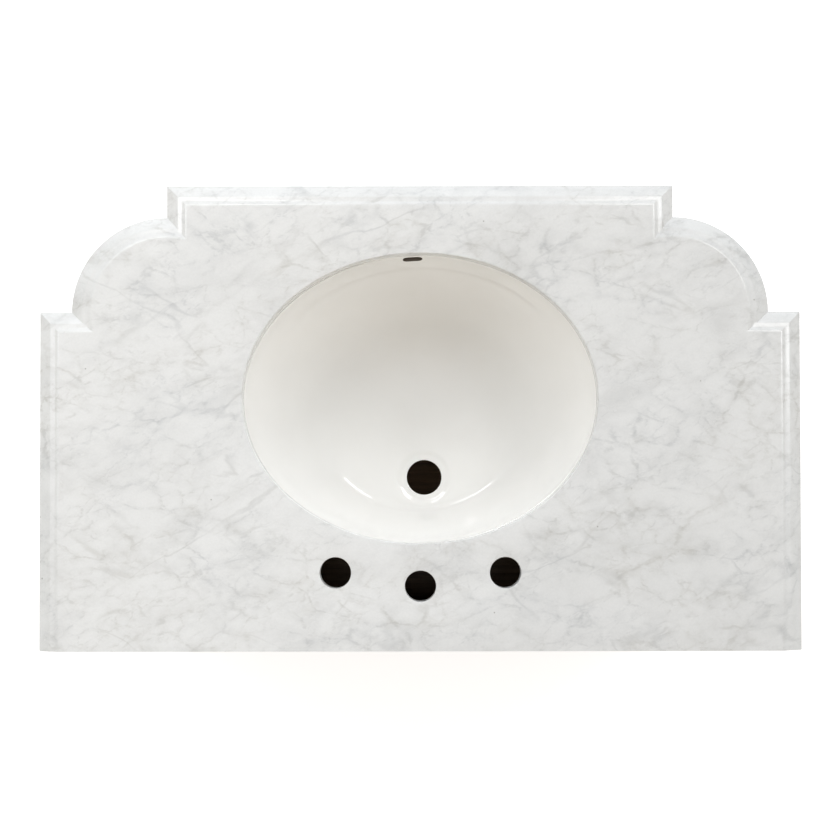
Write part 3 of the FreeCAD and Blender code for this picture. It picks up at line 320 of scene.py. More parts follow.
@dataclass(frozen=True)
class Marble(Finish):
    """Polished white marble: pale lens-shaped cells in a broken net of soft grey veins."""

    ground: Colour = srgb(233, 233, 232)
    cloud: Colour = srgb(217, 217, 216)
    vein: Colour = srgb(172, 174, 176)
    warm: Colour = srgb(178, 175, 167)
    speck: Colour = srgb(124, 119, 110)
    # Painted shade: share of the colour kept at the -X side of the top, and the half width over which it
    # fades in.
    painted_side_shade: float = 0.87
    painted_side_shade_reach: float = 0.44
    roughness: float = 0.22
    dulling: float = 0.07
    ior: float = 1.49
    cloud_turn: float = -14.0
    cloud_stretch: float = 0.7
    net_stretch: float = 0.55
    crack_stretch: float = 0.36

    # Nets of veins: cells in a metre, angle to the front, half width of a core, offset and depth.
    NETS = ((19.0, -16.0, 0.055, 1.7, 0.42), (34.0, 14.0, 0.080, 4.1, 0.42),
            (66.0, -24.0, 0.10, 8.3, 0.32))
    # Long thin veins: scale, angle to the front, half width, offset and depth.
    CRACKS = ((9.0, 27.0, 0.012, 2.9, 0.30), (8.0, -30.0, 0.012, 6.3, 0.30))
    # Bends of a net: waves in a cell, their reach as a share of a cell, and detail.
    BENDS = ((0.55, 0.8, 2.0), (2.6, 0.26, 3.0), (9.0, 0.14, 4.0))
    # Core and haze of a vein: width, depth, and the scale and limits of the patches that break them.
    LAYERS = ((0.9, 0.72, 4.0, 0.40, 0.62), (4.0, 0.42, 2.2, 0.38, 0.66))
    # Patches: scale, and the values of the noise at which they begin and are full.
    CLOUDS = (22.0, 0.47, 0.76)
    BROAD_CLOUDS = (6.0, 0.46, 0.72)
    WARMTH = (9.0, 0.40, 0.60)
    SPECKLED = (12.0, 0.48, 0.54)

    def patches(self, shader: Shader, at: Value, scale: float, low: float, high: float) -> Value:
        """Soft patches, 1 inside and 0 outside."""
        return shader.smooth(shader.noise(at, scale, 4.0, 0.6), low, high)

    def net(self, shader: Shader, cells: float, turn: float, width: float, shift: float) -> Value:
        """Veins between long cells, with a thin core in a wider haze, bent and broken by noise.

        Args:
            shader: the material's nodes.
            cells: cells in a metre, across their length.
            turn: angle of the cells to the front, in degrees.
            width: half the width of the core, as a share of a cell.
            shift: offset that sets one net apart from another.

        Returns:
            A socket, up to 1 in the middle of a vein and 0 away from it.
        """
        at = shader.place((self.net_stretch, 1.0, 1.0), turn, (shift, shift, shift))
        bent = at
        for waves, reach, detail in self.BENDS:
            bent = shader.sway(bent, cells * waves, reach / cells, detail)
        edge = shader.add("TexVoronoi", {"Vector": bent, "Scale": cells}, feature="DISTANCE_TO_EDGE")
        layers = []
        for spread, depth, scale, low, high in self.LAYERS:
            layer = shader.smooth(edge.outputs["Distance"], 0.0, width * spread, depth, 0.0)
            breaks = self.patches(shader, at, cells * scale, low, high)
            layers.append(shader.math("MULTIPLY", layer, breaks))
        line = shader.math("ADD", *layers)
        return shader.math("MULTIPLY", line, self.patches(shader, at, cells * 0.45, 0.40, 0.62))

    def crack(self, shader: Shader, scale: float, turn: float, width: float, shift: float) -> Value:
        """Long thin veins along one way, where a stretched noise passes its middle value.

        Args:
            shader: the material's nodes.
            scale: scale of the noise.
            turn: angle of the veins to the front, in degrees.
            width: how far from the middle value a vein reaches.
            shift: offset that sets one set of veins apart from another.

        Returns:
            A socket, 1 in the middle of a vein and 0 away from it.
        """
        at = shader.place((self.crack_stretch, 1.0, 1.0), turn, (shift, -shift, shift))
        wave = shader.noise(shader.sway(at, scale * 5.0, 0.18 / scale, 5.0), scale, 2.0, 0.45)
        off = shader.add("Math", {0: wave, 1: 0.5}, operation="SUBTRACT").outputs[0]
        distance = shader.add("Math", {0: off}, operation="ABSOLUTE").outputs[0]
        line = shader.smooth(distance, 0.0, width, 1.0, 0.0)
        return shader.math("MULTIPLY", line, self.patches(shader, at, scale * 2.4, 0.46, 0.64))

    def shade(self, shader: Shader) -> None:
        """Clouds over the ground, veins, a few specks, and painted shade that darkens the stone towards -X.

        Args:
            shader: the material's nodes.
        """
        at = shader.place((self.cloud_stretch, 1.0, 1.0), self.cloud_turn)
        clouds = self.patches(shader, at, *self.CLOUDS)
        broad = self.patches(shader, at, *self.BROAD_CLOUDS)
        colour = shader.blend(shader.math("MULTIPLY", clouds, 0.75), self.ground, self.cloud)
        colour = shader.blend(shader.math("MULTIPLY", broad, 0.40), colour, self.cloud)
        tint = shader.blend(self.patches(shader, at, *self.WARMTH), self.vein, self.warm)
        for make, table in ((self.net, self.NETS), (self.crack, self.CRACKS)):
            for *shape, depth in table:
                colour = shader.blend(shader.math("MULTIPLY", make(shader, *shape), depth), colour, tint)
        dots = shader.add("TexVoronoi", {"Vector": shader.place(), "Scale": 8.0}, voronoi_dimensions="2D")
        specks = shader.smooth(dots.outputs["Distance"], 0.004, 0.010, 0.55, 0.0)
        specks = shader.math("MULTIPLY", specks, self.patches(shader, at, *self.SPECKLED))
        colour = shader.blend(specks, colour, self.speck)
        crystals = shader.smooth(shader.noise(shader.place(), 420.0, 3.0), 0.30, 0.70, 0.982, 1.012)
        # Painted shade: the colour darkens towards -X, standing in for light that falls off across the top.
        across = shader.add("SeparateXYZ", {0: shader.place()}).outputs["X"]
        painted_side_shade = shader.smooth(across, -self.painted_side_shade_reach, self.painted_side_shade_reach, self.painted_side_shade, 1.0)
        for tone in (crystals, painted_side_shade):
            colour = shader.blend(1.0, colour, tone, "MULTIPLY")
        polish = shader.smooth(clouds, 0.0, 1.0, self.roughness, self.roughness + self.dulling)
        shader.feed(shader.surface, {"Base Color": colour, "Roughness": polish, "IOR": self.ior})


@dataclass(frozen=True)
class China(Finish):
    """Glazed sanitary china, warm white, with the faint waves of a dipped glaze and painted shade inside
    its holes.
    """

    glaze: Colour = srgb(245, 244, 241)
    thin: Colour = srgb(243, 242, 239)
    # Painted shade: the dark colour that stands in for the shade inside the overflow slot and the waste
    # hole.
    painted_hole_shade: Colour = srgb(106, 97, 88)
    roughness: float = 0.05
    gloss_range: float = 0.04
    thin_scale: float = 14.0
    gloss_scale: float = 40.0
    wave_scale: float = 26.0
    wave_depth: float = 0.25 * MM
    ior: float = 1.52

    def shade(self, shader: Shader) -> None:
        """A glaze that thins a little in patches, over a nearly smooth body, and a dark painted shade
        inside the overflow slot and the bore of the waste hole.

        Args:
            shader: the material's nodes.
        """
        at = shader.place()
        patches = shader.smooth(shader.noise(at, self.thin_scale, 3.0), 0.35, 0.70)
        # Painted shade: the marked faces of the slot and the bore take a dark colour in place of the shade
        # of a deep channel.
        hole_shade = shader.add("Attribute", {}, attribute_name=HOLE_SHADE).outputs["Fac"]
        colour = shader.blend(hole_shade, shader.blend(patches, self.glaze, self.thin), self.painted_hole_shade)
        dull = self.roughness + self.gloss_range
        gloss = shader.smooth(shader.noise(at, self.gloss_scale, 2.0), 0.3, 0.7, self.roughness, dull)
        waves = shader.bump(shader.noise(at, self.wave_scale, 1.0), self.wave_depth, 0.35)
        inputs = {"Base Color": colour, "Roughness": gloss, "Normal": waves, "IOR": self.ior}
        shader.feed(shader.surface, inputs)


@dataclass(frozen=True)
class Timber(Finish):
    """Lacquered wood: growth rings about a pith beside each board, streaks and open pores."""

    light: Colour
    middle: Colour
    dark: Colour
    pore: Colour
    ring_scale: float = 42.0
    roughness: float = 0.36
    lacquer: float = 0.30
    lacquer_roughness: float = 0.22
    ring_share: float = 0.26
    streak_share: float = 0.42
    tone_share: float = 0.34
    pore_share: float = 0.62
    pore_depth: float = 0.12 * MM
    ior: float = 1.48

    # Scales of the streaks, slow tones and pores: along the grain, across it and through the board.
    STREAKS = (2.6, 120.0, 120.0)
    TONES = (1.4, 9.0, 9.0)
    PORES = (26.0, 880.0, 880.0)

    def shade(self, shader: Shader) -> None:
        """Rings, streaks and a slow change of tone, mixed on a ramp, with pores cut into it.

        Args:
            shader: the material's nodes.
        """
        wander = shader.sway(shader.along_grain((0.9, 1.0, 1.0)), 2.3, 0.05, 2.0)
        rings = shader.add("TexWave", {
            "Vector": wander, "Scale": self.ring_scale, "Distortion": 1.4, "Detail": 2.0,
            "Detail Scale": 1.6, "Detail Roughness": 0.6,
        }, wave_type="RINGS", rings_direction="X", wave_profile="SAW").outputs["Fac"]
        streaks = shader.noise(shader.along_grain(self.STREAKS), 1.0, 5.0, 0.62)
        slow = shader.noise(shader.along_grain(self.TONES), 1.0, 3.0)
        tone = shader.math("MULTIPLY", rings, self.ring_share)
        tone = shader.math("ADD", tone, shader.smooth(streaks, 0.25, 0.75, 0.0, self.streak_share))
        tone = shader.math("ADD", tone, shader.smooth(slow, 0.30, 0.70, 0.0, self.tone_share))
        colour = shader.ramp(tone, (0.16, self.dark), (0.50, self.middle), (0.92, self.light))
        pores = shader.smooth(shader.noise(shader.along_grain(self.PORES), 1.0, 2.0), 0.60, 0.70)
        colour = shader.blend(shader.math("MULTIPLY", pores, self.pore_share), colour, self.pore)
        gloss = shader.smooth(streaks, 0.25, 0.75, self.roughness + 0.07, self.roughness - 0.05)
        relief = shader.math("SUBTRACT", shader.smooth(streaks, 0.2, 0.8, 0.75, 1.0), pores)
        inputs = {
            "Base Color": colour, "Roughness": gloss, "Normal": shader.bump(relief, self.pore_depth, 0.5),
            "Coat Weight": self.lacquer, "Coat Roughness": self.lacquer_roughness, "IOR": self.ior,
        }
        shader.feed(shader.surface, inputs)


@dataclass(frozen=True)
class Metal(Finish):
    """A metal with a worn polish: broad tarnish, and fine scratches along one way."""

    bright: Colour
    tarnish: Colour
    roughness: float = 0.24
    scratches: float = 0.10
    scratch_depth: float = 0.02 * MM
    tarnish_scale: float = 95.0
    tarnish_dulling: float = 0.12

    # Scales of the scratches, which are fine along Z.
    SCRATCHES = (240.0, 240.0, 2600.0)

    def shade(self, shader: Shader) -> None:
        """Tarnish in patches over the metal, and scratches in its gloss.

        Args:
            shader: the material's nodes.
        """
        at = shader.place()
        patches = shader.smooth(shader.noise(at, self.tarnish_scale, 5.0, 0.6), 0.42, 0.68)
        colour = shader.blend(patches, self.bright, self.tarnish)
        fine = shader.noise(shader.place(self.SCRATCHES), 1.0, 3.0)
        dull = shader.smooth(patches, 0.0, 1.0, self.roughness, self.roughness + self.tarnish_dulling)
        worn = shader.math("ADD", dull, shader.smooth(fine, 0.3, 0.7, 0.0, self.scratches))
        inputs = {
            "Base Color": colour, "Metallic": 1.0, "Roughness": worn,
            "Normal": shader.bump(fine, self.scratch_depth, 0.25),
        }
        shader.feed(shader.surface, inputs)


@dataclass(frozen=True)
class Moulded(Finish):
    """A moulded or squeezed material with a finely pitted skin."""

    colour: Colour
    shade_colour: Colour
    roughness: float = 0.45
    pits: float = 900.0
    pit_depth: float = 0.06 * MM
    tone_scale: float = 60.0

    def shade(self, shader: Shader) -> None:
        """A slight change of tone, and pits that show in the gloss.

        Args:
            shader: the material's nodes.
        """
        at = shader.place()
        patches = shader.smooth(shader.noise(at, self.tone_scale, 4.0), 0.35, 0.68)
        pits = shader.noise(at, self.pits, 2.0)
        inputs = {
            "Base Color": shader.blend(patches, self.colour, self.shade_colour),
            "Roughness": shader.smooth(pits, 0.3, 0.7, self.roughness - 0.06, self.roughness + 0.08),
            "Normal": shader.bump(pits, self.pit_depth, 0.4),
        }
        shader.feed(shader.surface, inputs)


FINISHES: dict[Slot, Finish] = {
    Slot.STONE: Marble("white_marble"),
    Slot.CHINA: China("glazed_china"),
    Slot.SEALANT: Moulded("silicone", srgb(214, 214, 208), srgb(196, 196, 190), 0.38, 500.0),
    Slot.WALNUT: Timber("lacquered_walnut", srgb(140, 97, 64), srgb(99, 64, 41), srgb(60, 38, 25),
                        srgb(38, 24, 17)),
    Slot.INNER_WOOD: Timber("oiled_lining", srgb(112, 92, 72), srgb(89, 72, 55), srgb(65, 51, 38),
                            srgb(45, 35, 27), 30.0, 0.55, 0.05),
    Slot.BRASS: Metal("aged_brass", srgb(205, 164, 92), srgb(146, 108, 56)),
    Slot.STEEL: Metal("zinc_steel", srgb(190, 192, 196), srgb(172, 174, 178), 0.34, 0.08),
    Slot.PLASTIC: Moulded("dark_nylon", srgb(54, 50, 46), srgb(42, 39, 36), 0.50, 1400.0),
}


def sweep_angle(centre: Sequence[float], radius: float, start: float, end: float, steps: int) -> Array:
    """Points of an arc in a profile.

    Args:
        centre: middle of the arc, as (inset, height).
        radius: radius of the arc.
        start: first angle, in degrees.
        end: last angle, in degrees.
        steps: number of points.

    Returns:
        (steps, 2) points: the centre plus the radius times the cosine and sine of the angle.
    """
    angle = np.radians(np.linspace(start, end, steps))
    return np.asarray(centre) + radius * np.stack([np.cos(angle), np.sin(angle)], -1)


def bowed(start: Array, end: Array, radius: Optional[float], steps: int = 8) -> Array:
    """Points of a straight or bowed run of a profile.

    The points lie along the chord and stand off it by the height of the arc there, which is the root of
    the radius squared less the distance from the middle squared, less the same at the end of the chord.

    Args:
        start: first point, as (inset, height).
        end: last point.
        radius: radius of the bow, less than zero where it is hollow, or None for a straight run.
        steps: number of points.

    Returns:
        (steps, 2) points.
    """
    share = np.linspace(0.0, 1.0, steps)[:, None]
    points = start + (end - start) * share
    if radius is None:
        return points
    chord = np.linalg.norm(end - start)
    along = (share - 0.5) * chord
    height = np.sqrt(radius ** 2 - along ** 2) - math.sqrt(radius ** 2 - chord ** 2 / 4)
    outward = np.array([start[1] - end[1], end[0] - start[0]]) / chord
    return points + np.sign(radius) * height * outward


def spline(knots: Array, count: int) -> Array:
    """A natural cubic spline through rows of values.

    The rows are spaced by the length of the chord between them. The second derivatives solve the
    usual banded system, and are zero at both ends.

    Args:
        knots: (rows, values) to pass through.
        count: number of rows wanted.

    Returns:
        (count, values), evenly spaced along the chords.
    """
    gaps = np.linalg.norm(np.diff(knots, axis=0), axis=1)
    at = np.concatenate([[0.0], np.cumsum(gaps)])
    size = len(knots)
    system = np.eye(size)
    inner = np.arange(1, size - 1)
    system[inner, inner - 1] = gaps[:-1]
    system[inner, inner] = 2 * (gaps[:-1] + gaps[1:])
    system[inner, inner + 1] = gaps[1:]
    slopes = np.diff(knots, axis=0) / gaps[:, None]
    bends = np.zeros_like(knots)
    bends[1:-1] = 6 * np.diff(slopes, axis=0)
    bends = np.linalg.solve(system, bends)
    wanted = np.linspace(0.0, at[-1], count)
    span = np.clip(np.searchsorted(at, wanted, side="right") - 1, 0, size - 2)
    gap = gaps[span][:, None]
    after = (wanted - at[span])[:, None]
    before = gap - after
    curve = (bends[span] * before ** 3 + bends[span + 1] * after ** 3) / (6 * gap)
    low = (knots[span] / gap - bends[span] * gap / 6) * before
    high = (knots[span + 1] / gap - bends[span + 1] * gap / 6) * after
    return curve + low + high


def step_up(value: Array, low: float, high: float) -> Array:
    """A smooth step from 0 at low to 1 at high."""
    share = np.clip((value - low) / (high - low), 0.0, 1.0)
    return share * share * (3.0 - 2.0 * share)


def gathered(*parts: Array) -> Array:
    """Points from arrays of their coordinates, each spread over the shape that they share."""
    return np.stack(np.broadcast_arrays(*parts), -1)


def grown_rows(length: float, width: float, section: Array, offset: float = 0.0) -> Array:
    """Rows of ovals that follow a section.

    Args:
        length: half length of the oval that the section stands on.
        width: half width of that oval.
        section: (rows, 2) growth beyond that oval, and height.
        offset: middle of the ovals along Y.

    Returns:
        (rows, 4) half length, half width, offset and height.
    """
    growth, height = section.T
    return gathered(length + growth, width + growth, np.array(offset), height)


def oval_rows(rows: Array, columns: int) -> Array:
    """A stack of ovals as a grid.

    Args:
        rows: (rows, 4) half length, half width, offset of the middle along Y, and height.
        columns: points round each oval.

    Returns:
        (rows, columns, 3): the half length times the cosine, the offset plus the half width times
        the sine, and the height.
    """
    angle = np.linspace(0.0, 2 * np.pi, columns, endpoint=False)
    length, width, offset, height = (rows[:, index, None] for index in range(4))
    return gathered(length * np.cos(angle), offset + width * np.sin(angle), height)


def turned(profile: Array, columns: int) -> Array:
    """A profile of (radius, height) turned about an upright axis, as a (rows, columns, 3) grid."""
    return oval_rows(grown_rows(0.0, 0.0, profile), columns)


def counterclockwise(loop: Array) -> Array:
    """A plan outline in the order that has its inside on the left.

    Args:
        loop: (points, 2) outline in either order.

    Returns:
        The same points, turned round where their area comes out less than zero.
    """
    x, y = loop.T
    area = np.dot(x, np.roll(y, -1)) - np.dot(y, np.roll(x, -1))
    return loop if area > 0 else loop[::-1]


class Shell:
    """Patches of one piece, gathered as arrays and closed into one mesh."""

    def __init__(self) -> None:
        """Starts with no patches."""
        self.points: list[Array] = []
        self.grain: list[Array] = []
        self.faces: list[list[int]] = []
        self.smooth: list[bool] = []
        self.count = 0

    def take(self, points: Array, faces: list[list[int]], smooth: bool,
             grain: Optional[Array] = None) -> None:
        """Adds a patch.

        Args:
            points: (points, 3).
            faces: point numbers of each face, from zero.
            smooth: whether the faces are shaded as one surface.
            grain: grain coordinates of the points, where it has a grain of its own.
        """
        self.points.append(points)
        self.grain.append(np.zeros_like(points) if grain is None else grain)
        self.faces += [[index + self.count for index in face] for face in faces]
        self.smooth += [smooth] * len(faces)
        self.count += len(points)

    def grid(self, points: Array, wrap_rows: bool = False, wrap_columns: bool = False,
             cap_rows: bool = False, cap_columns: bool = False, grain: Optional[Array] = None) -> "Shell":
        """Adds a grid of quads.

        Args:
            points: (rows, columns, 3).
            wrap_rows: joins the last row to the first.
            wrap_columns: joins the last column to the first.
            cap_rows: closes the first and last rows with flat faces.
            cap_columns: closes the first and last columns with flat faces.
            grain: grain coordinates of the points, in the same shape.

        Returns:
            The shell itself.
        """
        rows, columns = points.shape[:2]
        index = np.arange(rows * columns).reshape(rows, columns)
        caps = []
        if cap_rows:
            caps += [index[0].tolist(), index[-1, ::-1].tolist()]
        if cap_columns:
            caps += [index[:, 0].tolist(), index[::-1, -1].tolist()]
        if wrap_rows:
            index = np.vstack([index, index[:1]])
        if wrap_columns:
            index = np.hstack([index, index[:, :1]])
        quads = np.stack([index[:-1, :-1], index[:-1, 1:], index[1:, 1:], index[1:, :-1]], -1)
        flat_grain = None if grain is None else grain.reshape(-1, 3)
        first = self.count
        self.take(points.reshape(-1, 3), quads.reshape(-1, 4).tolist(), True, flat_grain)
        self.faces += [[corner + first for corner in cap] for cap in caps]
        self.smooth += [False] * len(caps)
        return self

    def sheet(self, loops: Sequence[Array], height: float) -> "Shell":
        """Adds a level face between an outline and its holes, as triangles.

        Args:
            loops: (points, 2) plan outlines, the outer one first.
            height: height of the face.

        Returns:
            The shell itself.
        """
        loops = [counterclockwise(loop) for loop in loops]
        starts = np.cumsum([0] + [len(loop) for loop in loops])
        rings = [list(range(start, end)) for start, end in zip(starts[:-1], starts[1:])]
        corners = [Vector(point) for point in np.concatenate(loops).tolist()]
        made = delaunay_2d_cdt(corners, [], rings, INSIDE_WITH_HOLES, PLAN_GAP)
        plan = np.array([tuple(corner) for corner in made[0]])
        points = np.column_stack([plan, np.full(len(plan), height)])
        self.take(points, [list(face) for face in made[2]], False)
        return self

    def mesh(self, name: str) -> bpy.types.Mesh:
        """Closes the patches into one mesh.

        The seams are merged, the faces turned outwards, and edges sharper than the crease angle kept
        crisp.

        Args:
            name: name of the mesh.

        Returns:
            The mesh, with its grain coordinates where patches gave them.
        """
        mesh = bpy.data.meshes.new(name)
        mesh.from_pydata(np.concatenate(self.points).tolist(), [], self.faces)
        mesh.polygons.foreach_set("use_smooth", self.smooth)
        grain = np.concatenate(self.grain)
        if grain.any():
            store_grain(mesh, grain)
        work = bmesh.new()
        work.from_mesh(mesh)
        bmesh.ops.remove_doubles(work, verts=work.verts, dist=MERGE)
        bmesh.ops.recalc_face_normals(work, faces=work.faces)
        work.to_mesh(mesh)
        work.free()
        mesh.set_sharp_from_angle(angle=CREASE)
        return mesh

    def show(self, node: str, body: Body, slot: Slot) -> None:
        """Closes the patches and puts their mesh in place of a node."""
        show(node, self.mesh(f"{node}_surface"), body, slot)


def soften(mesh: bpy.types.Mesh) -> None:
    """Shades a mesh as one surface, and keeps edges sharper than the crease angle crisp."""
    mesh.shade_smooth()
    mesh.set_sharp_from_angle(angle=CREASE)


def store_grain(mesh: bpy.types.Mesh, grain: Array) -> None:
    """Keeps grain coordinates (along, across, through) on the points of a mesh."""
    layer = mesh.attributes.get(GRAIN) or mesh.attributes.new(GRAIN, "FLOAT_VECTOR", "POINT")
    layer.data.foreach_set("vector", grain.astype(np.float32).ravel())


def solid_numbers(count: int, edges: Array) -> Array:
    """Numbers the separate solids of a mesh: each point takes the lowest number that edges bring it.

    Args:
        count: number of points.
        edges: (edges, 2) point numbers.

    Returns:
        (count,) numbers from zero.
    """
    numbers = np.arange(count)
    while True:
        lowest = np.minimum(numbers[edges[:, 0]], numbers[edges[:, 1]])
        spread = numbers.copy()
        np.minimum.at(spread, edges[:, 0], lowest)
        np.minimum.at(spread, edges[:, 1], lowest)
        spread = spread[spread]
        if np.array_equal(spread, numbers):
            return np.unique(numbers, return_inverse=True)[1]
        numbers = spread


def lay_grain(mesh: bpy.types.Mesh, axis: Optional[Axis], seed: int) -> None:
    """Gives every board of a mesh its own piece of the log.

    The grain runs along the axis, or along the longest side of each board. Each board is shifted along
    the log, and stands at its own distance from the pith.

    Args:
        mesh: the mesh of one or more boards.
        axis: direction of the grain, or None for the longest side.
        seed: seed of the shifts.
    """
    points = np.empty(len(mesh.vertices) * 3, np.float32)
    mesh.vertices.foreach_get("co", points)
    points = points.reshape(-1, 3)
    edges = np.empty(len(mesh.edges) * 2, np.int32)
    mesh.edges.foreach_get("vertices", edges)
    numbers = solid_numbers(len(points), edges.reshape(-1, 2))
    draw = np.random.default_rng(seed)
    grain = np.empty_like(points)
    for number in range(numbers.max() + 1):
        board = numbers == number
        low, high = points[board].min(0), points[board].max(0)
        along = int(np.argmax(high - low)) if axis is None else axis.value
        thin = int(np.argmin(np.where(np.arange(3) == along, np.inf, high - low)))
        order = [along, 3 - along - thin, thin]
        shift = draw.uniform(LOG_LOW, LOG_HIGH)
        grain[board] = (points[board] - (low + high) / 2)[:, order] + shift
    store_grain(mesh, grain)


def show(node: str, mesh: bpy.types.Mesh, body: Body, slot: Slot) -> bpy.types.Object:
    """Puts a finished mesh in place of a node, on its body and in its finish.

    Args:
        node: the node that the mesh stands for.
        mesh: the finished mesh, in place.
        body: the body that it rides on.
        slot: the material slot that it takes its finish from.

    Returns:
        The new object.
    """
    piece = placed(f"{node}_dressed", mesh)
    mesh.materials.append(FINISHES[slot].material())
    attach(piece, body.value)
    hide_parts(node)
    LOG.info("%s: %d faces, on %s, in %s", piece.name, len(mesh.polygons), body.value, slot.value)
    return piece


def eased_copy(node: str, ease: float) -> bpy.types.Mesh:
    """A copy of a node's solids with every outer edge eased.

    The copy is merged, its level faces are joined, and its convex edges are bevelled.

    Args:
        node: the node to copy.
        ease: width of the eased edge.

    Returns:
        The mesh of the copy.
    """
    mesh = bpy.data.meshes.new(f"{node}_eased")
    work = bmesh.new()
    work.from_mesh(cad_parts[node].data)
    bmesh.ops.remove_doubles(work, verts=work.verts, dist=MERGE)
    bmesh.ops.dissolve_limit(work, angle_limit=LEVEL, verts=work.verts, edges=work.edges)
    outer = [
        edge for edge in work.edges
        if edge.is_manifold and edge.is_convex and edge.calc_face_angle() > CREASE
    ]
    bmesh.ops.bevel(work, geom=outer, offset=ease, segments=EASE_FACES, profile=0.5, affect="EDGES",
                    clamp_overlap=True)
    work.to_mesh(mesh)
    work.free()
    soften(mesh)
    return mesh


@dataclass(frozen=True)
class Plan:
    """A breakfront plan with quarter-round corners, between a bay and two ears."""

    bay: float
    front: float
    ear: float
    ear_front: float
    back: float
    corner_x: float
    corner_y: float
    radius: float

    STEPS = 44

    def outline(self, inset: Array) -> Array:
        """Plan points at each inset, from the back right round the front to the back left.

        The corner arc keeps its centre and loses the inset from its radius. It starts where it meets
        the line of the ear and ends where it meets the side of the bay.

        Args:
            inset: (rows,) distances in from the plan.

        Returns:
            (rows, columns, 2) points.
        """
        inset = np.asarray(inset, float)[:, None]
        radius = self.radius - inset
        ear_x, ear_y = self.ear - inset, self.ear_front + inset
        bay_x, bay_y = self.bay - inset, self.front + inset
        start = np.arcsin((ear_y - self.corner_y) / radius)
        end = -np.arccos((bay_x - self.corner_x) / radius)
        angle = start + (end - start) * np.linspace(0.0, 1.0, self.STEPS)
        arc_x = self.corner_x + radius * np.cos(angle)
        arc_y = self.corner_y + radius * np.sin(angle)
        right_x = np.hstack([ear_x, ear_x, arc_x, bay_x])
        right_y = np.hstack([np.full_like(inset, self.back), ear_y, arc_y, bay_y])
        right = np.stack([right_x, right_y], -1)
        return np.concatenate([right, right[:, ::-1] * (-1, 1)], axis=1)

    def edge(self, profile: Array, bottom: float) -> Array:
        """A profile carried along the plan.

        Args:
            profile: (rows, 2) inset and height.
            bottom: height of the foot of the profile.

        Returns:
            (rows, columns, 3): the plan at each inset, at its height over the foot.
        """
        plan = self.outline(profile[:, 0])
        return gathered(plan[..., 0], plan[..., 1], profile[:, 1, None] + bottom)

    def grain(self, profile: Array) -> Array:
        """Grain coordinates of such an edge.

        Args:
            profile: (rows, 2) inset and height.

        Returns:
            (rows, columns, 3): the run along the plan, the inset and the height.
        """
        plan = self.outline(np.zeros(1))[0]
        run = np.concatenate([[0.0], np.cumsum(np.linalg.norm(np.diff(plan, axis=0), axis=1))])
        return gathered(run[None, :], profile[:, 0, None], profile[:, 1, None])

    def columns(self, stretch: Stretch) -> list[slice]:
        """Columns of one stretch of an outline.

        Args:
            stretch: the stretch that is wanted.

        Returns:
            The columns of each of its parts, the right one first.
        """
        last = 2 * (self.STEPS + 3)
        arc_end = self.STEPS + 1
        return {
            Stretch.SIDES: [slice(0, 3), slice(last - 3, last)],
            Stretch.CORNERS: [slice(2, arc_end + 1), slice(last - arc_end - 1, last - 2)],
            Stretch.BAY: [slice(arc_end, last - arc_end)],
        }[stretch]


def moulded_slab(plan: Plan, profile: Array, bottom: float, top_holes: Sequence[Array] = (),
                 bottom_holes: Sequence[Array] = ()) -> Shell:
    """A slab whose front and sides are moulded and whose back is plain.

    Args:
        plan: the plan of the slab.
        profile: (rows, 2) inset and height of the moulding, from the bottom up.
        bottom: height of the bottom of the slab.
        top_holes: outlines of the holes in the upper face.
        bottom_holes: outlines of the holes in the lower face.

    Returns:
        The shell of the slab, open only at its holes.
    """
    edge = plan.edge(profile, bottom)
    shell = Shell().grid(edge)
    back = np.concatenate([edge[:, 0], edge[::-1, -1]])
    shell.take(back, [list(range(len(back)))], False)
    shell.sheet([edge[-1, :, :2], *top_holes], edge[-1, 0, 2])
    shell.sheet([edge[0, :, :2], *bottom_holes], edge[0, 0, 2])
    return shell


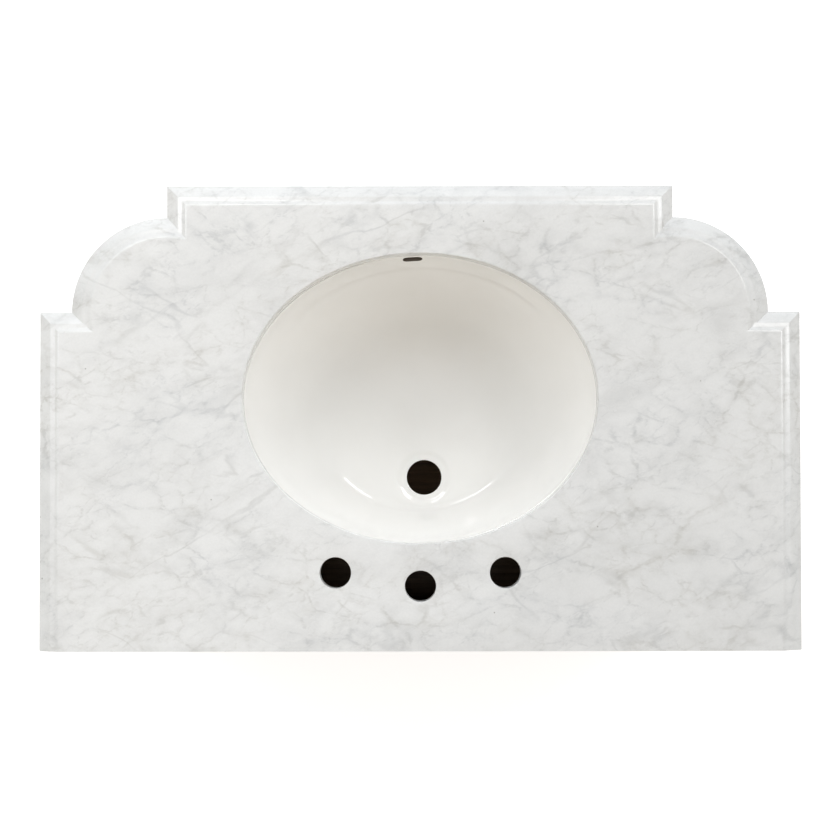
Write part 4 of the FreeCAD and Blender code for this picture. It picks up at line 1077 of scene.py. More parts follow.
@dataclass
class StoneTop:
    """The slab: an ogee on the front and sides, an oval cut-out and three tap holes."""

    band: float = 16 * MM
    foot_ease: float = 0.6 * MM
    corner_radius: float = 114.3 * MM
    step: float = 38.1 * MM
    bowl_length: float = 426 * MM
    bowl_width: float = 348 * MM
    bowl_land: float = 128 * MM
    bowl_ease: float = 1.5 * MM
    tap_radius: float = 18.7 * MM
    tap_ease: float = 0.8 * MM
    valve_spacing: float = 203.2 * MM
    valve_setback: float = 93.6 * MM
    spout_setback: float = 77.5 * MM
    bowl_columns: int = 240
    tap_columns: int = 64

    # Runs of the ogee above the band: width, rise, and radius, which is less than zero in a hollow.
    OGEE = ((12.5 * MM, 8.5 * MM, None), (3 * MM, 1.4 * MM, 10.6 * MM), (7 * MM, 2.9 * MM, -25 * MM),
            (4 * MM, 1.2 * MM, 7.8 * MM))
    # Points that soften the edge between the band and the ogee, measured from that edge.
    SOFT = np.array(((0.0, -0.5 * MM), (0.12 * MM, 0.02 * MM), (0.5 * MM, 0.34 * MM)))

    def __post_init__(self) -> None:
        """Takes the outer sizes from the frame."""
        low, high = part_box("marble_top")
        self.bottom, self.top, self.back = low.z, high.z, high.y
        bay = high.x - self.corner_radius - self.step
        ear_front = low.y + self.step + self.corner_radius
        self.plan = Plan(bay, low.y, high.x, ear_front, high.y, bay, ear_front, self.corner_radius)
        self.bowl_middle = high.y - self.bowl_land - self.bowl_width / 2

    def profile(self) -> Array:
        """The edge from the foot up: a band, a softened edge, a slope, a shoulder, a hollow and a lip.

        Returns:
            (rows, 2) inset and height.
        """
        foot = sweep_angle((self.foot_ease, self.foot_ease), self.foot_ease, 270, 180, steps=3)
        here = np.array([0.0, self.band])
        runs = [foot]
        for width, rise, radius in self.OGEE:
            there = here + (width, rise)
            runs.append(bowed(here, there, radius))
            here = there
        points = np.concatenate(runs)
        return np.concatenate([foot, points[len(foot)] + self.SOFT, points[len(foot) + 1:]])

    def holes(self) -> list[Array]:
        """Walls of the cut-out and the tap holes: eased at the top, then straight down.

        Returns:
            A (rows, columns, 3) grid for each hole, from the top down.
        """
        half, tap = self.valve_spacing / 2, self.tap_radius
        valves = self.back - self.valve_setback
        bowl = (self.bowl_length / 2, self.bowl_width / 2, 0.0, self.bowl_middle)
        taps = ((0.0, self.back - self.spout_setback), (-half, valves), (half, valves))
        spots = [(*bowl, self.bowl_ease, self.bowl_columns)]
        spots += [(tap, tap, *place, self.tap_ease, self.tap_columns) for place in taps]
        foot = [(0.0, self.bottom + self.foot_ease), (self.foot_ease, self.bottom)]
        walls = []
        for length, width, x, y, ease, columns in spots:
            arc = sweep_angle((ease, -ease), ease, 90, 180, steps=6) + (0.0, self.top)
            rows = grown_rows(length, width, np.concatenate([arc, foot]), y)
            walls.append(oval_rows(rows, columns) + (x, 0.0, 0.0))
        return walls

    def build(self) -> None:
        """Joins the moulded slab and the walls of its holes."""
        walls = self.holes()
        upper = [wall[0, :, :2] for wall in walls]
        lower = [wall[-1, :, :2] for wall in walls]
        shell = moulded_slab(self.plan, self.profile(), self.bottom, upper, lower)
        for wall in walls:
            shell.grid(wall, wrap_columns=True)
        shell.show("marble_top", Body.CHEST, Slot.STONE)


@dataclass
class Basin:
    """The oval bowl under the top, with its flange, waste hole and overflow."""

    top: StoneTop
    seal: float = 1.5 * MM
    seal_inset: float = 4 * MM
    seal_width: float = 12 * MM
    reveal: float = 0.5 * MM
    rim_ease: float = 1.2 * MM
    depth: float = 160 * MM
    wall: float = 8 * MM
    turn: float = 3.0
    flange: float = 22 * MM
    flange_thickness: float = 10 * MM
    flange_ease: float = 1.5 * MM
    flange_gap: float = 2 * MM
    drain_setback: float = 95.5 * MM
    drain_radius: float = 22.25 * MM
    dish_inner: float = 26.5 * MM
    dish_outer: float = 37 * MM
    dish_depth: float = 3 * MM
    boss_radius: float = 36 * MM
    boss_height: float = 19.5 * MM
    boss_flare: float = 3 * MM
    boss_neck: float = 2 * MM
    boss_ease: float = 1.5 * MM
    chase_growth: float = 11.5 * MM
    chase_half: float = 23 * MM
    chase_fade: float = 6 * MM
    slot_width: float = 24 * MM
    slot_height: float = 11 * MM
    slot_drop: float = 10 * MM
    slot_reach: float = 12.5 * MM
    slot_entry: float = 30 * MM
    touch: float = 0.05 * MM
    columns: int = 288
    seal_columns: int = 160

    # The bowl at shares of its depth: shares of the length and of the width of its mouth.
    DEPTHS = np.array((0.0, 0.10, 0.28, 0.50, 0.70, 0.85, 0.95, 1.0))
    LENGTHS = np.array((1.0, 0.984, 0.940, 0.868, 0.766, 0.645, 0.510, 0.290))
    WIDTHS = np.array((1.0, 0.982, 0.930, 0.835, 0.700, 0.545, 0.385, 0.215))
    INNER_ROWS = 110
    OUTER_ROWS = 70
    CHASE_ROWS = 200

    def __post_init__(self) -> None:
        """Works out the mouth from the cut-out above it."""
        self.mouth_length = self.top.bowl_length / 2 + self.reveal
        self.mouth_width = self.top.bowl_width / 2 + self.reveal
        self.height = self.top.bottom - self.seal

    def turning(self) -> Array:
        """The matrix that turns rows of points about the upright axis of the basin."""
        cosine, sine = math.cos(math.radians(self.turn)), math.sin(math.radians(self.turn))
        return np.array([[cosine, sine, 0.0], [-sine, cosine, 0.0], [0.0, 0.0, 1.0]])

    def hang(self, points: Array) -> Array:
        """Turns points of the basin's own frame and puts them under the top."""
        return points @ self.turning() + (0.0, self.top.bowl_middle, self.height)

    def unhang(self, points: Array) -> Array:
        """Takes points under the top back to the basin's own frame."""
        return (points - (0.0, self.top.bowl_middle, self.height)) @ self.turning().T

    def skin(self, growth: float) -> Array:
        """Rows of a bowl outside the inner face, from the mouth to the floor.

        Each row takes its shares of the mouth's length and width, and its middle moves from the middle
        of the mouth to the waste hole as it narrows.

        Args:
            growth: how far the bowl stands outside the inner face.

        Returns:
            (rows, 4) half length, half width, offset and height.
        """
        shift = self.drain_setback * (1 - self.WIDTHS) / (1 - self.WIDTHS[-1])
        length = self.mouth_length * self.LENGTHS + growth
        width = self.mouth_width * self.WIDTHS + growth
        return np.stack([length, width, shift, -(self.depth + growth) * self.DEPTHS], -1)

    def ring(self, radius: float, height: float) -> list[float]:
        """A row of the waste hole."""
        return [radius, radius, self.drain_setback, height]

    def inner_rows(self) -> Array:
        """The bowl from its rim to the waste hole: a rounded rim, the bowl, a flat floor and the bore.

        Returns:
            (rows, 4) half length, half width, offset and height.
        """
        floor, ease = -self.depth, self.rim_ease
        bowl = spline(np.vstack([self.skin(0.0), self.ring(self.dish_inner, floor)]), self.INNER_ROWS)
        bowl[:, 3] = np.maximum(bowl[:, 3], floor)
        bowl = bowl[bowl[:, 3] < -ease]
        lip = np.array([(ease, 0.0), (0.3 * ease, -0.3 * ease), (0.0, -ease)])
        rim = grown_rows(self.mouth_length, self.mouth_width, lip)
        bore = sweep_angle((self.drain_radius + ease, floor - ease), ease, 90, 180, steps=5)
        rows = [self.ring(*spot) for spot in bore]
        rows.append(self.ring(self.drain_radius, floor - self.boss_height))
        return np.vstack([rim, bowl, rows])

    def dished(self, points: Array) -> Array:
        """Sinks the floor round the waste hole, along half a cosine wave of the distance from its axis.

        Args:
            points: (rows, columns, 3) of the bowl, with the foot of the bore as the last row.

        Returns:
            The points, with all rows but the last sunk.
        """
        reach = np.hypot(points[..., 0], points[..., 1] - self.drain_setback)
        share = np.clip((reach - self.dish_inner) / (self.dish_outer - self.dish_inner), 0.0, 1.0)
        drop = self.dish_depth * (1 + np.cos(np.pi * share)) / 2
        sunk = points.copy()
        sunk[:-1, :, 2] -= drop[:-1]
        return sunk

    def flange_rows(self) -> Array:
        """The flange from its inner lower edge round its rim to the mouth.

        Returns:
            (rows, 4) half length, half width, offset and height.
        """
        ease = self.flange_ease
        low = sweep_angle((-ease, ease - self.flange_thickness), ease, 270, 360, steps=4)
        high = sweep_angle((-ease, -ease), ease, 0, 90, steps=4)
        length, width = self.top.bowl_length / 2 + self.flange, self.top.bowl_width / 2 + self.flange
        return grown_rows(length, width, np.vstack([low, high]))

    def outside(self) -> Array:
        """The outside below the flange, swollen at the front by the channel from overflow to waste.

        Each row is moved towards the row of a larger bowl at the same share of its depth, by a smooth
        step of the distance from the middle.

        Returns:
            (rows, columns, 3), from the flange down.
        """
        plain = spline(self.skin(self.wall), self.OUTER_ROWS)
        plain = plain[plain[:, 3] < -self.flange_thickness - self.flange_gap]
        swollen = spline(self.skin(self.wall + self.chase_growth), self.CHASE_ROWS)
        near = np.abs(swollen[None, :, 3] / (self.depth + self.wall + self.chase_growth)
                      - plain[:, None, 3] / (self.depth + self.wall)).argmin(1)
        inner, outer = oval_rows(plain, self.columns), oval_rows(swollen[near], self.columns)
        share = step_up(-np.abs(inner[..., 0]), -self.chase_half, -self.chase_half + self.chase_fade)
        share = share * (inner[..., 1] < plain[:, 2, None])
        return inner + share[..., None] * (outer - inner)

    def boss_rows(self) -> Array:
        """The boss under the waste hole, from its flared root to its eased foot.

        Returns:
            (rows, 4) half length, half width, offset and height.
        """
        root, low = -self.depth - self.wall, -self.depth - self.boss_height
        return np.array([
            self.ring(self.boss_radius + self.boss_flare, root),
            self.ring(self.boss_radius, root - self.boss_neck),
            self.ring(self.boss_radius, low + self.boss_ease),
            self.ring(self.boss_radius - self.boss_ease, low),
        ])

    def slot_cutter(self) -> bpy.types.Object:
        """A bar with round ends that cuts the overflow slot into the front wall.

        Returns:
            The bar, in place.
        """
        radius = self.slot_height / 2
        half = self.slot_width / 2 - radius
        right = sweep_angle((half, 0.0), radius, -90, 90, steps=13)
        left = sweep_angle((-half, 0.0), radius, 90, 270, steps=13)
        x, z = np.concatenate([right, left]).T
        y = np.array([-self.mouth_width - self.slot_reach, -self.mouth_width + self.slot_entry])
        bar = gathered(x[None, :], y[:, None], z[None, :] - self.slot_drop)
        shell = Shell().grid(self.hang(bar), wrap_columns=True, cap_rows=True)
        return placed("overflow_cutter", shell.mesh("overflow_cutter"))

    def build(self) -> None:
        """Closes inside, flange and outside into one ring-shaped shell, and cuts the overflow slot."""
        inner = self.dished(oval_rows(self.inner_rows(), self.columns))
        flange = oval_rows(self.flange_rows(), self.columns)
        boss = oval_rows(self.boss_rows(), self.columns)
        rows = np.concatenate([flange, inner, boss[::-1], self.outside()[::-1]])
        shell = Shell().grid(self.hang(rows), wrap_rows=True, wrap_columns=True)
        whole = placed("basin_whole", shell.mesh("basin_surface"))
        cutter = self.slot_cutter()
        cut = whole.modifiers.new("overflow", "BOOLEAN")
        cut.operation = "DIFFERENCE"
        cut.solver = "EXACT"
        cut.object = cutter
        evaluated = whole.evaluated_get(bpy.context.evaluated_depsgraph_get())
        pierced = bpy.data.meshes.new_from_object(evaluated)
        for spare in (whole, cutter):
            bpy.data.objects.remove(spare)
        soften(pierced)
        self.mark_hole_shade(pierced)
        show("basin", pierced, Body.CHEST, Slot.CHINA)
        self.build_seal()

    def mark_hole_shade(self, mesh: bpy.types.Mesh) -> None:
        """Marks the faces inside the overflow slot and the bore of the waste hole, which take a painted
        shade.

        Args:
            mesh: the finished mesh of the basin, in place.
        """
        middles = np.empty(len(mesh.polygons) * 3, dtype=np.float32)
        mesh.polygons.foreach_get("center", middles)
        x, y, z = self.unhang(middles.reshape(-1, 3)).T
        radius = self.slot_height / 2
        along = np.maximum(np.abs(x) - (self.slot_width / 2 - radius), 0.0)
        slot = (np.hypot(along, z + self.slot_drop) < radius + self.touch) & (y < 0.0)
        bore = np.hypot(x, y - self.drain_setback) < self.drain_radius + self.touch
        # Painted shade mask: 1 on the faces of the slot and the bore, 0 elsewhere.
        layer = mesh.attributes.new(HOLE_SHADE, "FLOAT", "FACE")
        layer.data.foreach_set("value", (slot | bore).astype(np.float32))

    def build_seal(self) -> None:
        """The sealant bead: a flat ring with bulged edges, between the flange and the top."""
        half = self.seal / 2
        bulge = sweep_angle((0.0, 0.0), half, 90, 270, steps=7)
        section = np.concatenate([half + bulge, (self.seal_width - half, half) - bulge])
        length, width = self.mouth_length + self.seal_inset, self.mouth_width + self.seal_inset
        rows = oval_rows(grown_rows(length, width, section), self.seal_columns)
        shell = Shell().grid(self.hang(rows), wrap_rows=True, wrap_columns=True)
        shell.show("basin_seal", Body.CHEST, Slot.SEALANT)


@dataclass
class Boards:
    """Joinery that keeps the shape of its solids and gets eased edges and its own grain."""

    body: Body
    slot: Slot
    ease: float = 0.8 * MM

    def build(self, *nodes: str, axis: Optional[Axis] = None) -> None:
        """Dresses nodes of one grain direction.

        Args:
            nodes: the nodes.
            axis: direction of the grain, or None for the longest side of each board.
        """
        for node in nodes:
            mesh = eased_copy(node, self.ease)
            lay_grain(mesh, axis, number_of(node))
            show(node, mesh, self.body, self.slot)


def ironwork(body: Body, slot: Slot, *nodes: str, ease: float = 0.25 * MM) -> None:
    """Dresses metal and plastic fittings: their own solids with broken edges."""
    for node in nodes:
        show(node, eased_copy(node, ease), body, slot)


@dataclass
class Courses:
    """The parts of the case that follow the breakfront: corner panels, cornice, deck and plinth."""

    panel_thickness: float = 16 * MM
    panel_ease: float = 0.8 * MM
    panel_pinch: float = 0.6
    cornice_reach: float = 16 * MM
    cove: float = 13 * MM
    fillet: float = 3 * MM
    cornice_height: float = 22 * MM
    deck_reach: float = 10 * MM
    deck_round: float = 9 * MM
    deck_seed: int = 7
    plinth_reach: float = 4 * MM
    plinth_thickness: float = 20 * MM
    log_length: int = 97
    pith: float = 0.06

    def __post_init__(self) -> None:
        """Takes the faces of the case from the frame."""
        post_low, post_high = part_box("right_centre_post")
        panel_low, panel_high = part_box("right_corner_panel")
        ear_low, ear_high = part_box("ear_posts")
        self.bay_face, self.front = post_high.x, post_low.y
        self.ear_face, self.ear_front = ear_high.x, ear_low.y
        self.radius = panel_high.x - self.bay_face
        self.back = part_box("rear_posts")[1].y
        self.panel_rise = (panel_low.z, panel_high.z)

    def plan(self, reach: float) -> Plan:
        """The plan of a course that stands out from the faces of the case."""
        return Plan(self.bay_face + reach, self.front - reach, self.ear_face + reach,
                    self.ear_front - reach, self.back, self.bay_face, self.ear_front, self.radius + reach)

    def board_profile(self, thickness: float, height: float) -> Array:
        """A closed upright section with eased edges.

        Args:
            thickness: thickness of the board.
            height: height of the board.

        Returns:
            (rows, 2) inset and height, from the outer foot round.
        """
        ease = self.panel_ease
        spots = ((ease, ease, 270, 180), (ease, height - ease, 180, 90),
                 (thickness - ease, height - ease, 90, 0), (thickness - ease, ease, 0, -90))
        return np.concatenate([sweep_angle(spot[:2], ease, *spot[2:], steps=4) for spot in spots])

    def carried(self, node: str, reach: float, profile: Array, bottom: float, stretch: Stretch,
                upright: bool = False, only: Optional[int] = None) -> None:
        """Carries a closed profile along one stretch of the plan, as one piece with capped ends.

        Args:
            node: the node that the piece stands for.
            reach: how far the plan stands out from the case.
            profile: (rows, 2) closed section of inset and height.
            bottom: height of the foot of the section.
            stretch: the stretch of the plan.
            upright: whether the grain runs up, as on a panel, or along the plan.
            only: number of the one part of the stretch that is wanted.
        """
        plan = self.plan(reach)
        points, grain = plan.edge(profile, bottom), plan.grain(profile)
        if upright:
            grain = grain[..., [2, 0, 1]] * (1.0, self.panel_pinch, 1.0)
        grain = grain + log_shift(node, self.log_length, self.pith)
        shell = Shell()
        for index, columns in enumerate(plan.columns(stretch)):
            if only in (None, index):
                shell.grid(points[:, columns], wrap_rows=True, cap_columns=True, grain=grain[:, columns])
        shell.show(node, Body.CHEST, Slot.WALNUT)

    def build(self) -> None:
        """Corner panels, cornice, deck and the round corners of the plinth."""
        low, high = self.panel_rise
        panel = self.board_profile(self.panel_thickness, high - low)
        for index, side in enumerate((Side.RIGHT, Side.LEFT)):
            self.carried(f"{side.value}_corner_panel", 0.0, panel, low, Stretch.CORNERS, upright=True,
                         only=index)
        cavetto = np.concatenate([
            [(self.cornice_reach, 0.0), (self.cove, 0.0)],
            sweep_angle((0.0, self.fillet), self.cove, 0, 90, steps=12),
            [(0.0, self.cornice_height), (self.cornice_reach, self.cornice_height)],
        ])
        bottom = high - self.cornice_height
        for stretch in (Stretch.BAY, Stretch.SIDES, Stretch.CORNERS):
            self.carried(f"cornice_{stretch.value}", self.cornice_reach, cavetto, bottom, stretch)
        plinth_low, plinth_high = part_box("plinth_corners")
        plinth = self.board_profile(self.plinth_thickness, plinth_high.z - plinth_low.z)
        self.carried("plinth_corners", self.plinth_reach, plinth, plinth_low.z, Stretch.CORNERS)
        deck_low, deck_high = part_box("deck")
        thickness = deck_high.z - deck_low.z
        ovolo = np.concatenate([
            [(0.0, 0.0)],
            sweep_angle((self.deck_round, thickness - self.deck_round), self.deck_round, 180, 90, steps=12),
        ])
        mesh = moulded_slab(self.plan(self.deck_reach), ovolo, deck_low.z).mesh("deck_surface")
        lay_grain(mesh, Axis.X, self.deck_seed)
        show("deck", mesh, Body.CHEST, Slot.WALNUT)


def rectangle_rings(low: Sequence[float], high: Sequence[float], profile: Array) -> Array:
    """A profile carried round a rectangle in a front, mitred at its corners.

    Args:
        low: lower corner (x, z) of the outer rectangle.
        high: upper corner (x, z) of the outer rectangle.
        profile: (rows, 2) inset from the outer rectangle, and y.

    Returns:
        (rows, 4, 3): the four corners of the rectangle, moved in by the inset, at that y.
    """
    inset, depth = profile[:, 0, None], profile[:, 1, None]
    x = np.hstack([low[0] + inset, high[0] - inset, high[0] - inset, low[0] + inset])
    z = np.hstack([low[1] + inset, low[1] + inset, high[1] - inset, high[1] - inset])
    return gathered(x, depth, z)


@dataclass
class Bead:
    """A mitred bead frame: an upright outer side, a round and a small quirk down to the field."""

    width: float = 9 * MM
    quirk: float = 2.2 * MM
    quirk_drop: float = 0.82
    log_length: int = 89
    pith: float = 0.3
    crest_rows: int = 15

    def build(self, node: str, body: Body) -> None:
        """Carries the section of the bead round its rectangle.

        Args:
            node: the node of the bead.
            body: the body that it rides on.
        """
        low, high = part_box(node)
        face, back = low.y, high.y
        inner = self.width - self.quirk
        middle = inner / 2
        crown = min(back - face, middle)
        angle = np.radians(np.linspace(180, 0, self.crest_rows))
        crest = np.stack([middle + middle * np.cos(angle), face + crown - crown * np.sin(angle)], -1)
        step = face + crown * self.quirk_drop
        tail = np.array([[inner, step], [self.width, step], [self.width, back], [0.0, back]])
        profile = np.concatenate([crest, tail])
        points = rectangle_rings((low.x, low.z), (high.x, high.z), profile)
        grain = gathered(points[..., 0] + points[..., 2], profile[:, 0, None], points[..., 1])
        grain = grain + log_shift(node, self.log_length, self.pith)
        Shell().grid(points, wrap_rows=True, wrap_columns=True, grain=grain).show(node, body, Slot.WALNUT)


@dataclass
class Knob:
    """A turned knob: a stepped rose, a waisted neck and a mushroom head."""

    radius: float = 13 * MM
    projection: float = 24 * MM
    head: float = 11 * MM
    underside: float = 4.2 * MM
    rose: float = 10 * MM
    rose_ease: float = 0.8 * MM
    neck: float = 4.6 * MM
    columns: int = 56
    head_rows: int = 26
    neck_rows: int = 14
    head_start: float = -62.0

    # The two steps of the rose: inset from its edge and height, at the middle of their rounding.
    STEPS = ((0.8 * MM, 1.0 * MM), (2.6 * MM, 2.6 * MM))

    def profile(self) -> Array:
        """The outline from the middle of the foot to the top of the crown.

        The head is an oval, less high below its widest place than above it. The neck narrows from the
        rose by the fourth power of the distance from its middle.

        Returns:
            (rows, 2) radius and height.
        """
        crown = self.projection - self.head
        angle = np.radians(np.linspace(self.head_start, 90, self.head_rows))
        rise = np.where(angle < 0, self.underside, self.projection - crown) * np.sin(angle)
        head = np.stack([self.radius * np.cos(angle), crown + rise], -1)
        steps = [sweep_angle((self.rose - inset, height), self.rose_ease, 0, 90, steps=5)
                 for inset, height in self.STEPS]
        foot = np.concatenate([[(0.0, 0.0), (self.rose, 0.0)], *steps])
        share = np.linspace(0.0, 1.0, self.neck_rows)[:, None]
        start, end = foot[-1], head[0]
        waist = start + (end - start) * share
        narrow = self.neck + (2 * share[:, 0] - 1) ** 4 * (start[0] - self.neck)
        waist[:, 0] = np.minimum(waist[:, 0], narrow)
        return np.concatenate([foot, waist[1:-1], head])

    def build(self, node: str, body: Body, places: Sequence[tuple[float, float]]) -> None:
        """Turns the knobs of a node, each about its own axis out of the front.

        Args:
            node: the node of the knobs.
            body: the body that they ride on.
            places: x and z of each knob's axis.
        """
        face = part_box(node)[1].y
        across, up, out = np.moveaxis(turned(self.profile(), self.columns), -1, 0)
        shell = Shell()
        for x, z in places:
            shell.grid(gathered(across + x, face - out, up + z), wrap_columns=True, cap_rows=True)
        shell.show(node, body, Slot.BRASS)


@dataclass
class Door:
    """A framed door: stiles and rails, a raised and fielded panel, a bead, a knob and its ironwork."""

    side: Side
    seed: int
    frame_ease: float = 0.9 * MM
    tongue: float = 8.4 * MM
    tongue_thickness: float = 8 * MM
    bead: float = 9 * MM
    bevel: float = 24 * MM
    field_step: float = 1.0 * MM
    field_foot: float = 0.6 * MM
    field_rise: float = 0.2 * MM
    panel_ease: float = 0.5 * MM

    def __post_init__(self) -> None:
        """Finds the body of this side's door."""
        self.body = Body(f"{self.side.value}_door")

    def build_panel(self, node: str) -> None:
        """The panel: a tongue all round, a bevel that rises from the bead, and a stepped field.

        Args:
            node: the node of the panel.
        """
        low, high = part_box(node)
        foot = self.tongue + self.bead
        field = foot + self.bevel
        face, ease = high.y - self.tongue_thickness, self.panel_ease
        step = low.y + self.field_step
        profile = np.array([
            (ease, high.y), (0.0, high.y - ease), (0.0, face + ease), (ease, face), (foot, face),
            (field - self.field_foot, step), (field, step - self.field_rise), (field, low.y + ease),
            (field + ease, low.y),
        ])
        points = rectangle_rings((low.x, low.z), (high.x, high.z), profile)
        mesh = Shell().grid(points, wrap_columns=True, cap_rows=True).mesh(f"{node}_surface")
        lay_grain(mesh, Axis.Z, self.seed)
        show(node, mesh, self.body, Slot.WALNUT)

    def build(self) -> None:
        """Dresses every piece of the door."""
        door = self.body.value
        timber = Boards(self.body, Slot.WALNUT, self.frame_ease)
        timber.build(f"{door}_stiles", axis=Axis.Z)
        timber.build(f"{door}_rails", axis=Axis.X)
        self.build_panel(f"{door}_panel")
        Bead().build(f"{door}_bead", self.body)
        low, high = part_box(f"{door}_knob")
        Knob().build(f"{door}_knob", self.body, [((low.x + high.x) / 2, (low.z + high.z) / 2)])
        ironwork(self.body, Slot.BRASS, f"{door}_hinge_leaves")
        ironwork(self.body, Slot.STEEL, f"{door}_strike")


@dataclass
class Drawer:
    """The drawer: an inset front with a bead and two knobs, and a dark box on telescopic slides."""

    front_ease: float = 0.9 * MM
    knob_spacing: float = 250 * MM

    def build(self) -> None:
        """Dresses every piece of the drawer and of its slides."""
        Boards(Body.DRAWER, Slot.WALNUT, self.front_ease).build("drawer_front", axis=Axis.X)
        Bead().build("drawer_bead", Body.DRAWER)
        low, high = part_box("drawer_knobs")
        height, half = (low.z + high.z) / 2, self.knob_spacing / 2
        Knob().build("drawer_knobs", Body.DRAWER, [(-half, height), (half, height)])
        box = Boards(Body.DRAWER, Slot.INNER_WOOD)
        box.build("drawer_sides", axis=Axis.Y)
        box.build("drawer_back", "drawer_bottom", axis=Axis.X)
        ironwork(Body.CHEST, Slot.STEEL, "drawer_slide_outer")
        ironwork(Body.SLIDE_MIDDLE, Slot.STEEL, "drawer_slide_middle")
        ironwork(Body.DRAWER, Slot.STEEL, "drawer_slide_inner")


@dataclass
class Case:
    """The boards of the case, its lining and its fittings."""

    clip_ease: float = 0.4 * MM
    nylon_ease: float = 0.6 * MM

    def build(self) -> None:
        """Dresses the boards by the way their grain runs, then the fittings."""
        faces = Boards(Body.CHEST, Slot.WALNUT)
        faces.build("left_centre_post", "right_centre_post", "ear_posts", "rear_posts", "left_side_panel",
                    "right_side_panel", axis=Axis.Z)
        faces.build("side_rails", axis=Axis.Y)
        faces.build("frieze_rail", "frieze_front", "mid_rail", "plinth_front", "plinth_back", axis=Axis.X)
        faces.build("plinth_sides", "plinth_returns")
        Bead().build("frieze_bead", Body.CHEST)
        lining = Boards(Body.CHEST, Slot.INNER_WOOD)
        lining.build("partitions", "back_panel", "plinth_blocks", axis=Axis.Z)
        lining.build("hanging_rail", "cupboard_floor", axis=Axis.X)
        ironwork(Body.CHEST, Slot.STEEL, "basin_clips", "basin_clip_bolts", ease=self.clip_ease)
        ironwork(Body.CHEST, Slot.BRASS, "hinge_case_leaves", "hinge_pins")
        ironwork(Body.CHEST, Slot.PLASTIC, "magnetic_catch", "floor_glides", ease=self.nylon_ease)


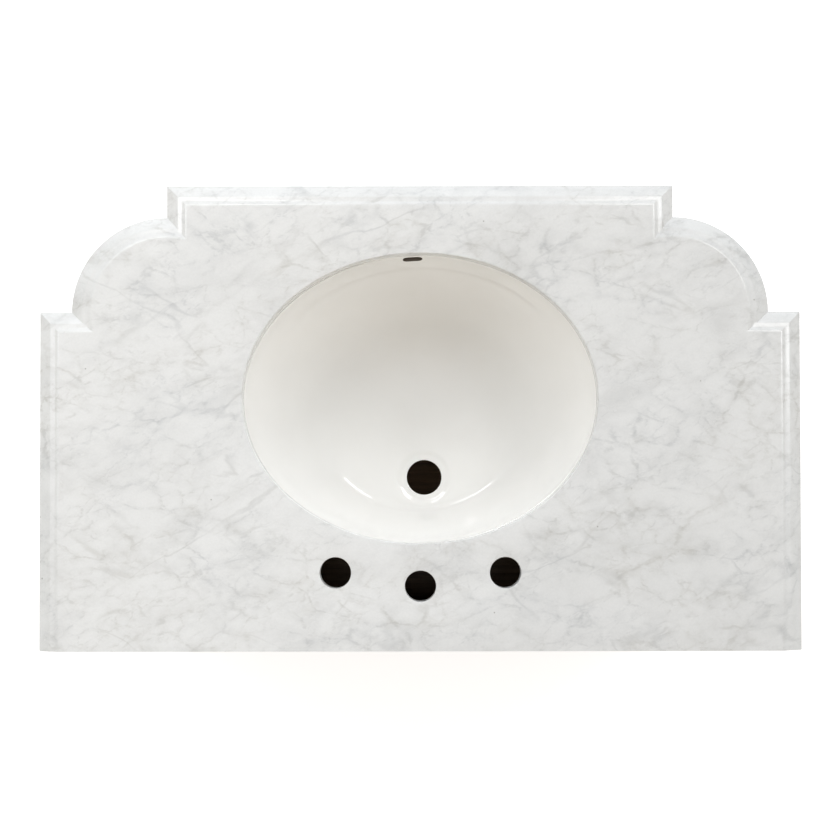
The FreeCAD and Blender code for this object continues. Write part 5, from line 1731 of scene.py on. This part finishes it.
@dataclass
class Studio:
    """Floor, soft lamps and the camera above the top."""

    camera_height: float = 3.2914
    camera_setback: float = 0.0613
    camera_side: float = 0.00095
    camera_tilt: float = 1.382
    camera_swing: float = -0.015
    camera_turn: float = 179.902
    camera_range: float = 60.0
    lens: float = 86.15
    sensor: float = 36.0
    aim_height: float = 0.80
    lamp_distance: float = 2.8
    lamp_height: float = 50.0
    lamp_size: tuple[float, float] = (1.2, 0.35)
    left_swing: float = 36.0
    left_power: float = 13.0
    right_swing: float = -51.0
    right_power: float = 13.5
    sky_peak: float = 3.0
    sky_blend: float = 0.75
    floor_half: float = 9.0
    floor_glow: float = 0.66
    floor_pale: Colour = srgb(236, 236, 236)
    floor_grey: Colour = srgb(232, 232, 232)

    # Light of the sky in front of the chest and behind it, at sines of the angle above the horizon.
    SKY_FRONT = ((0.20, (0.58, 0.56, 0.48)), (0.28, (1.40, 1.47, 1.56)), (0.40, (1.76, 1.86, 1.98)),
                 (0.55, (2.10, 2.24, 2.40)), (0.66, (2.02, 2.15, 2.30)), (0.73, (0.10, 0.09, 0.08)),
                 (0.85, (0.10, 0.09, 0.08)), (0.90, (0.88, 0.84, 0.74)), (0.95, (0.88, 0.84, 0.74)),
                 (0.98, (0.64, 0.70, 0.76)))
    SKY_BACK = ((0.20, (0.50, 0.56, 0.53)), (0.30, (1.32, 1.27, 1.22)), (0.46, (1.34, 1.29, 1.22)),
                (0.57, (0.70, 0.50, 0.22)), (0.76, (0.06, 0.02, 0.01)), (0.95, (0.03, 0.02, 0.01)),
                (0.98, (0.64, 0.70, 0.76)))

    def build(self) -> None:
        """Makes the camera, the lamps, the sky and the floor."""
        self.build_camera()
        # The lamp at the left of the picture stands on the right of the chest, which faces away.
        self.build_lamp("left_softbox", self.left_swing, self.left_power)
        self.build_lamp("right_softbox", self.right_swing, self.right_power)
        self.build_sky()
        self.build_floor()
        bpy.context.scene.view_settings.view_transform = "Standard"

    def build_camera(self) -> None:
        """A camera that looks down on the top, with the front of the chest at the top of the picture."""
        lens = bpy.data.cameras.new("camera")
        lens.lens = self.lens
        lens.sensor_width = self.sensor
        lens.clip_end = self.camera_range
        camera = placed("camera", lens)
        camera.location = (self.camera_side, self.camera_setback, self.camera_height)
        angles = (self.camera_tilt, self.camera_swing, self.camera_turn)
        camera.rotation_euler = [math.radians(angle) for angle in angles]
        bpy.context.scene.camera = camera

    def build_lamp(self, name: str, swing: float, power: float) -> None:
        """A soft lamp aimed at the bowl.

        Args:
            name: name of the lamp.
            swing: angle of the lamp to the front, in degrees.
            power: power of the lamp, in watts.
        """
        light = bpy.data.lights.new(name, "AREA")
        light.shape = "RECTANGLE"
        light.size, light.size_y = self.lamp_size
        light.energy = power
        lamp = placed(name, light)
        lamp.visible_camera = False
        rise, turn = math.radians(self.lamp_height), math.radians(swing)
        away = Vector((math.sin(turn) * math.cos(rise), -math.cos(turn) * math.cos(rise), math.sin(rise)))
        lamp.location = Vector((0.0, 0.0, self.aim_height)) + away * self.lamp_distance
        lamp.rotation_euler = (-away).to_track_quat("-Z", "Y").to_euler()

    def seen(self, shader: Shader) -> Value:
        """Tells what is looked at from what lights things.

        Args:
            shader: the nodes of the sky or the floor.

        Returns:
            A socket, 1 to the camera and to what gloss and glass show, and 0 to other light.
        """
        rays = shader.add("LightPath", {}).outputs
        mirrored = shader.math("MAXIMUM", rays["Is Glossy Ray"], rays["Is Transmission Ray"])
        return shader.math("MAXIMUM", rays["Is Camera Ray"], mirrored)

    def build_sky(self) -> None:
        """A ring of soft light, strong in front and dim and warm behind, seen as plain white."""
        world = bpy.data.worlds.new("studio")
        bpy.context.scene.world = world
        shader = Shader(world)
        way = shader.add("SeparateXYZ", {0: shader.add("TexCoord", {}).outputs["Generated"]})
        lobes = []
        for stops in (self.SKY_FRONT, self.SKY_BACK):
            dimmed = [(at, (*(part / self.sky_peak for part in colour), 1.0)) for at, colour in stops]
            lobes.append(shader.ramp(way.outputs["Z"], *dimmed))
        sky = shader.blend(shader.smooth(way.outputs["Y"], -self.sky_blend, self.sky_blend), *lobes)
        white = (1.0 / self.sky_peak,) * 3 + (1.0,)
        colour = shader.blend(self.seen(shader), sky, white)
        shader.feed(shader.surface, {"Color": colour, "Strength": self.sky_peak})

    def build_floor(self) -> None:
        """A pale floor that glows to the camera and to gloss, and keeps the shadow of the chest."""
        corners = np.array([[-1, -1], [1, -1], [1, 1], [-1, 1]]) * self.floor_half
        mesh = bpy.data.meshes.new("floor")
        mesh.from_pydata(np.column_stack([corners, np.zeros(4)]).tolist(), [], [[0, 1, 2, 3]])
        floor = placed("floor", mesh)
        material = bpy.data.materials.new("studio_floor")
        shader = Shader(material)
        mottle = shader.noise(shader.place(), 3.0, 3.0)
        colour = shader.blend(mottle, self.floor_pale, self.floor_grey)
        glow = shader.math("MULTIPLY", self.seen(shader), self.floor_glow)
        shader.feed(shader.surface, {
            "Base Color": colour, "Roughness": 0.9, "Specular IOR Level": 0.0,
            "Emission Color": (1.0, 1.0, 1.0, 1.0), "Emission Strength": glow,
        })
        mesh.materials.append(material)


def main() -> None:
    """Builds the sub-assemblies in order, then the studio."""
    logging.basicConfig(level=logging.INFO, format="%(message)s")
    top = StoneTop()
    top.build()
    Basin(top).build()
    Courses().build()
    Case().build()
    Door(Side.LEFT, seed=31).build()
    Door(Side.RIGHT, seed=47).build()
    Drawer().build()
    Studio().build()


if __name__ == "__main__":
    main()
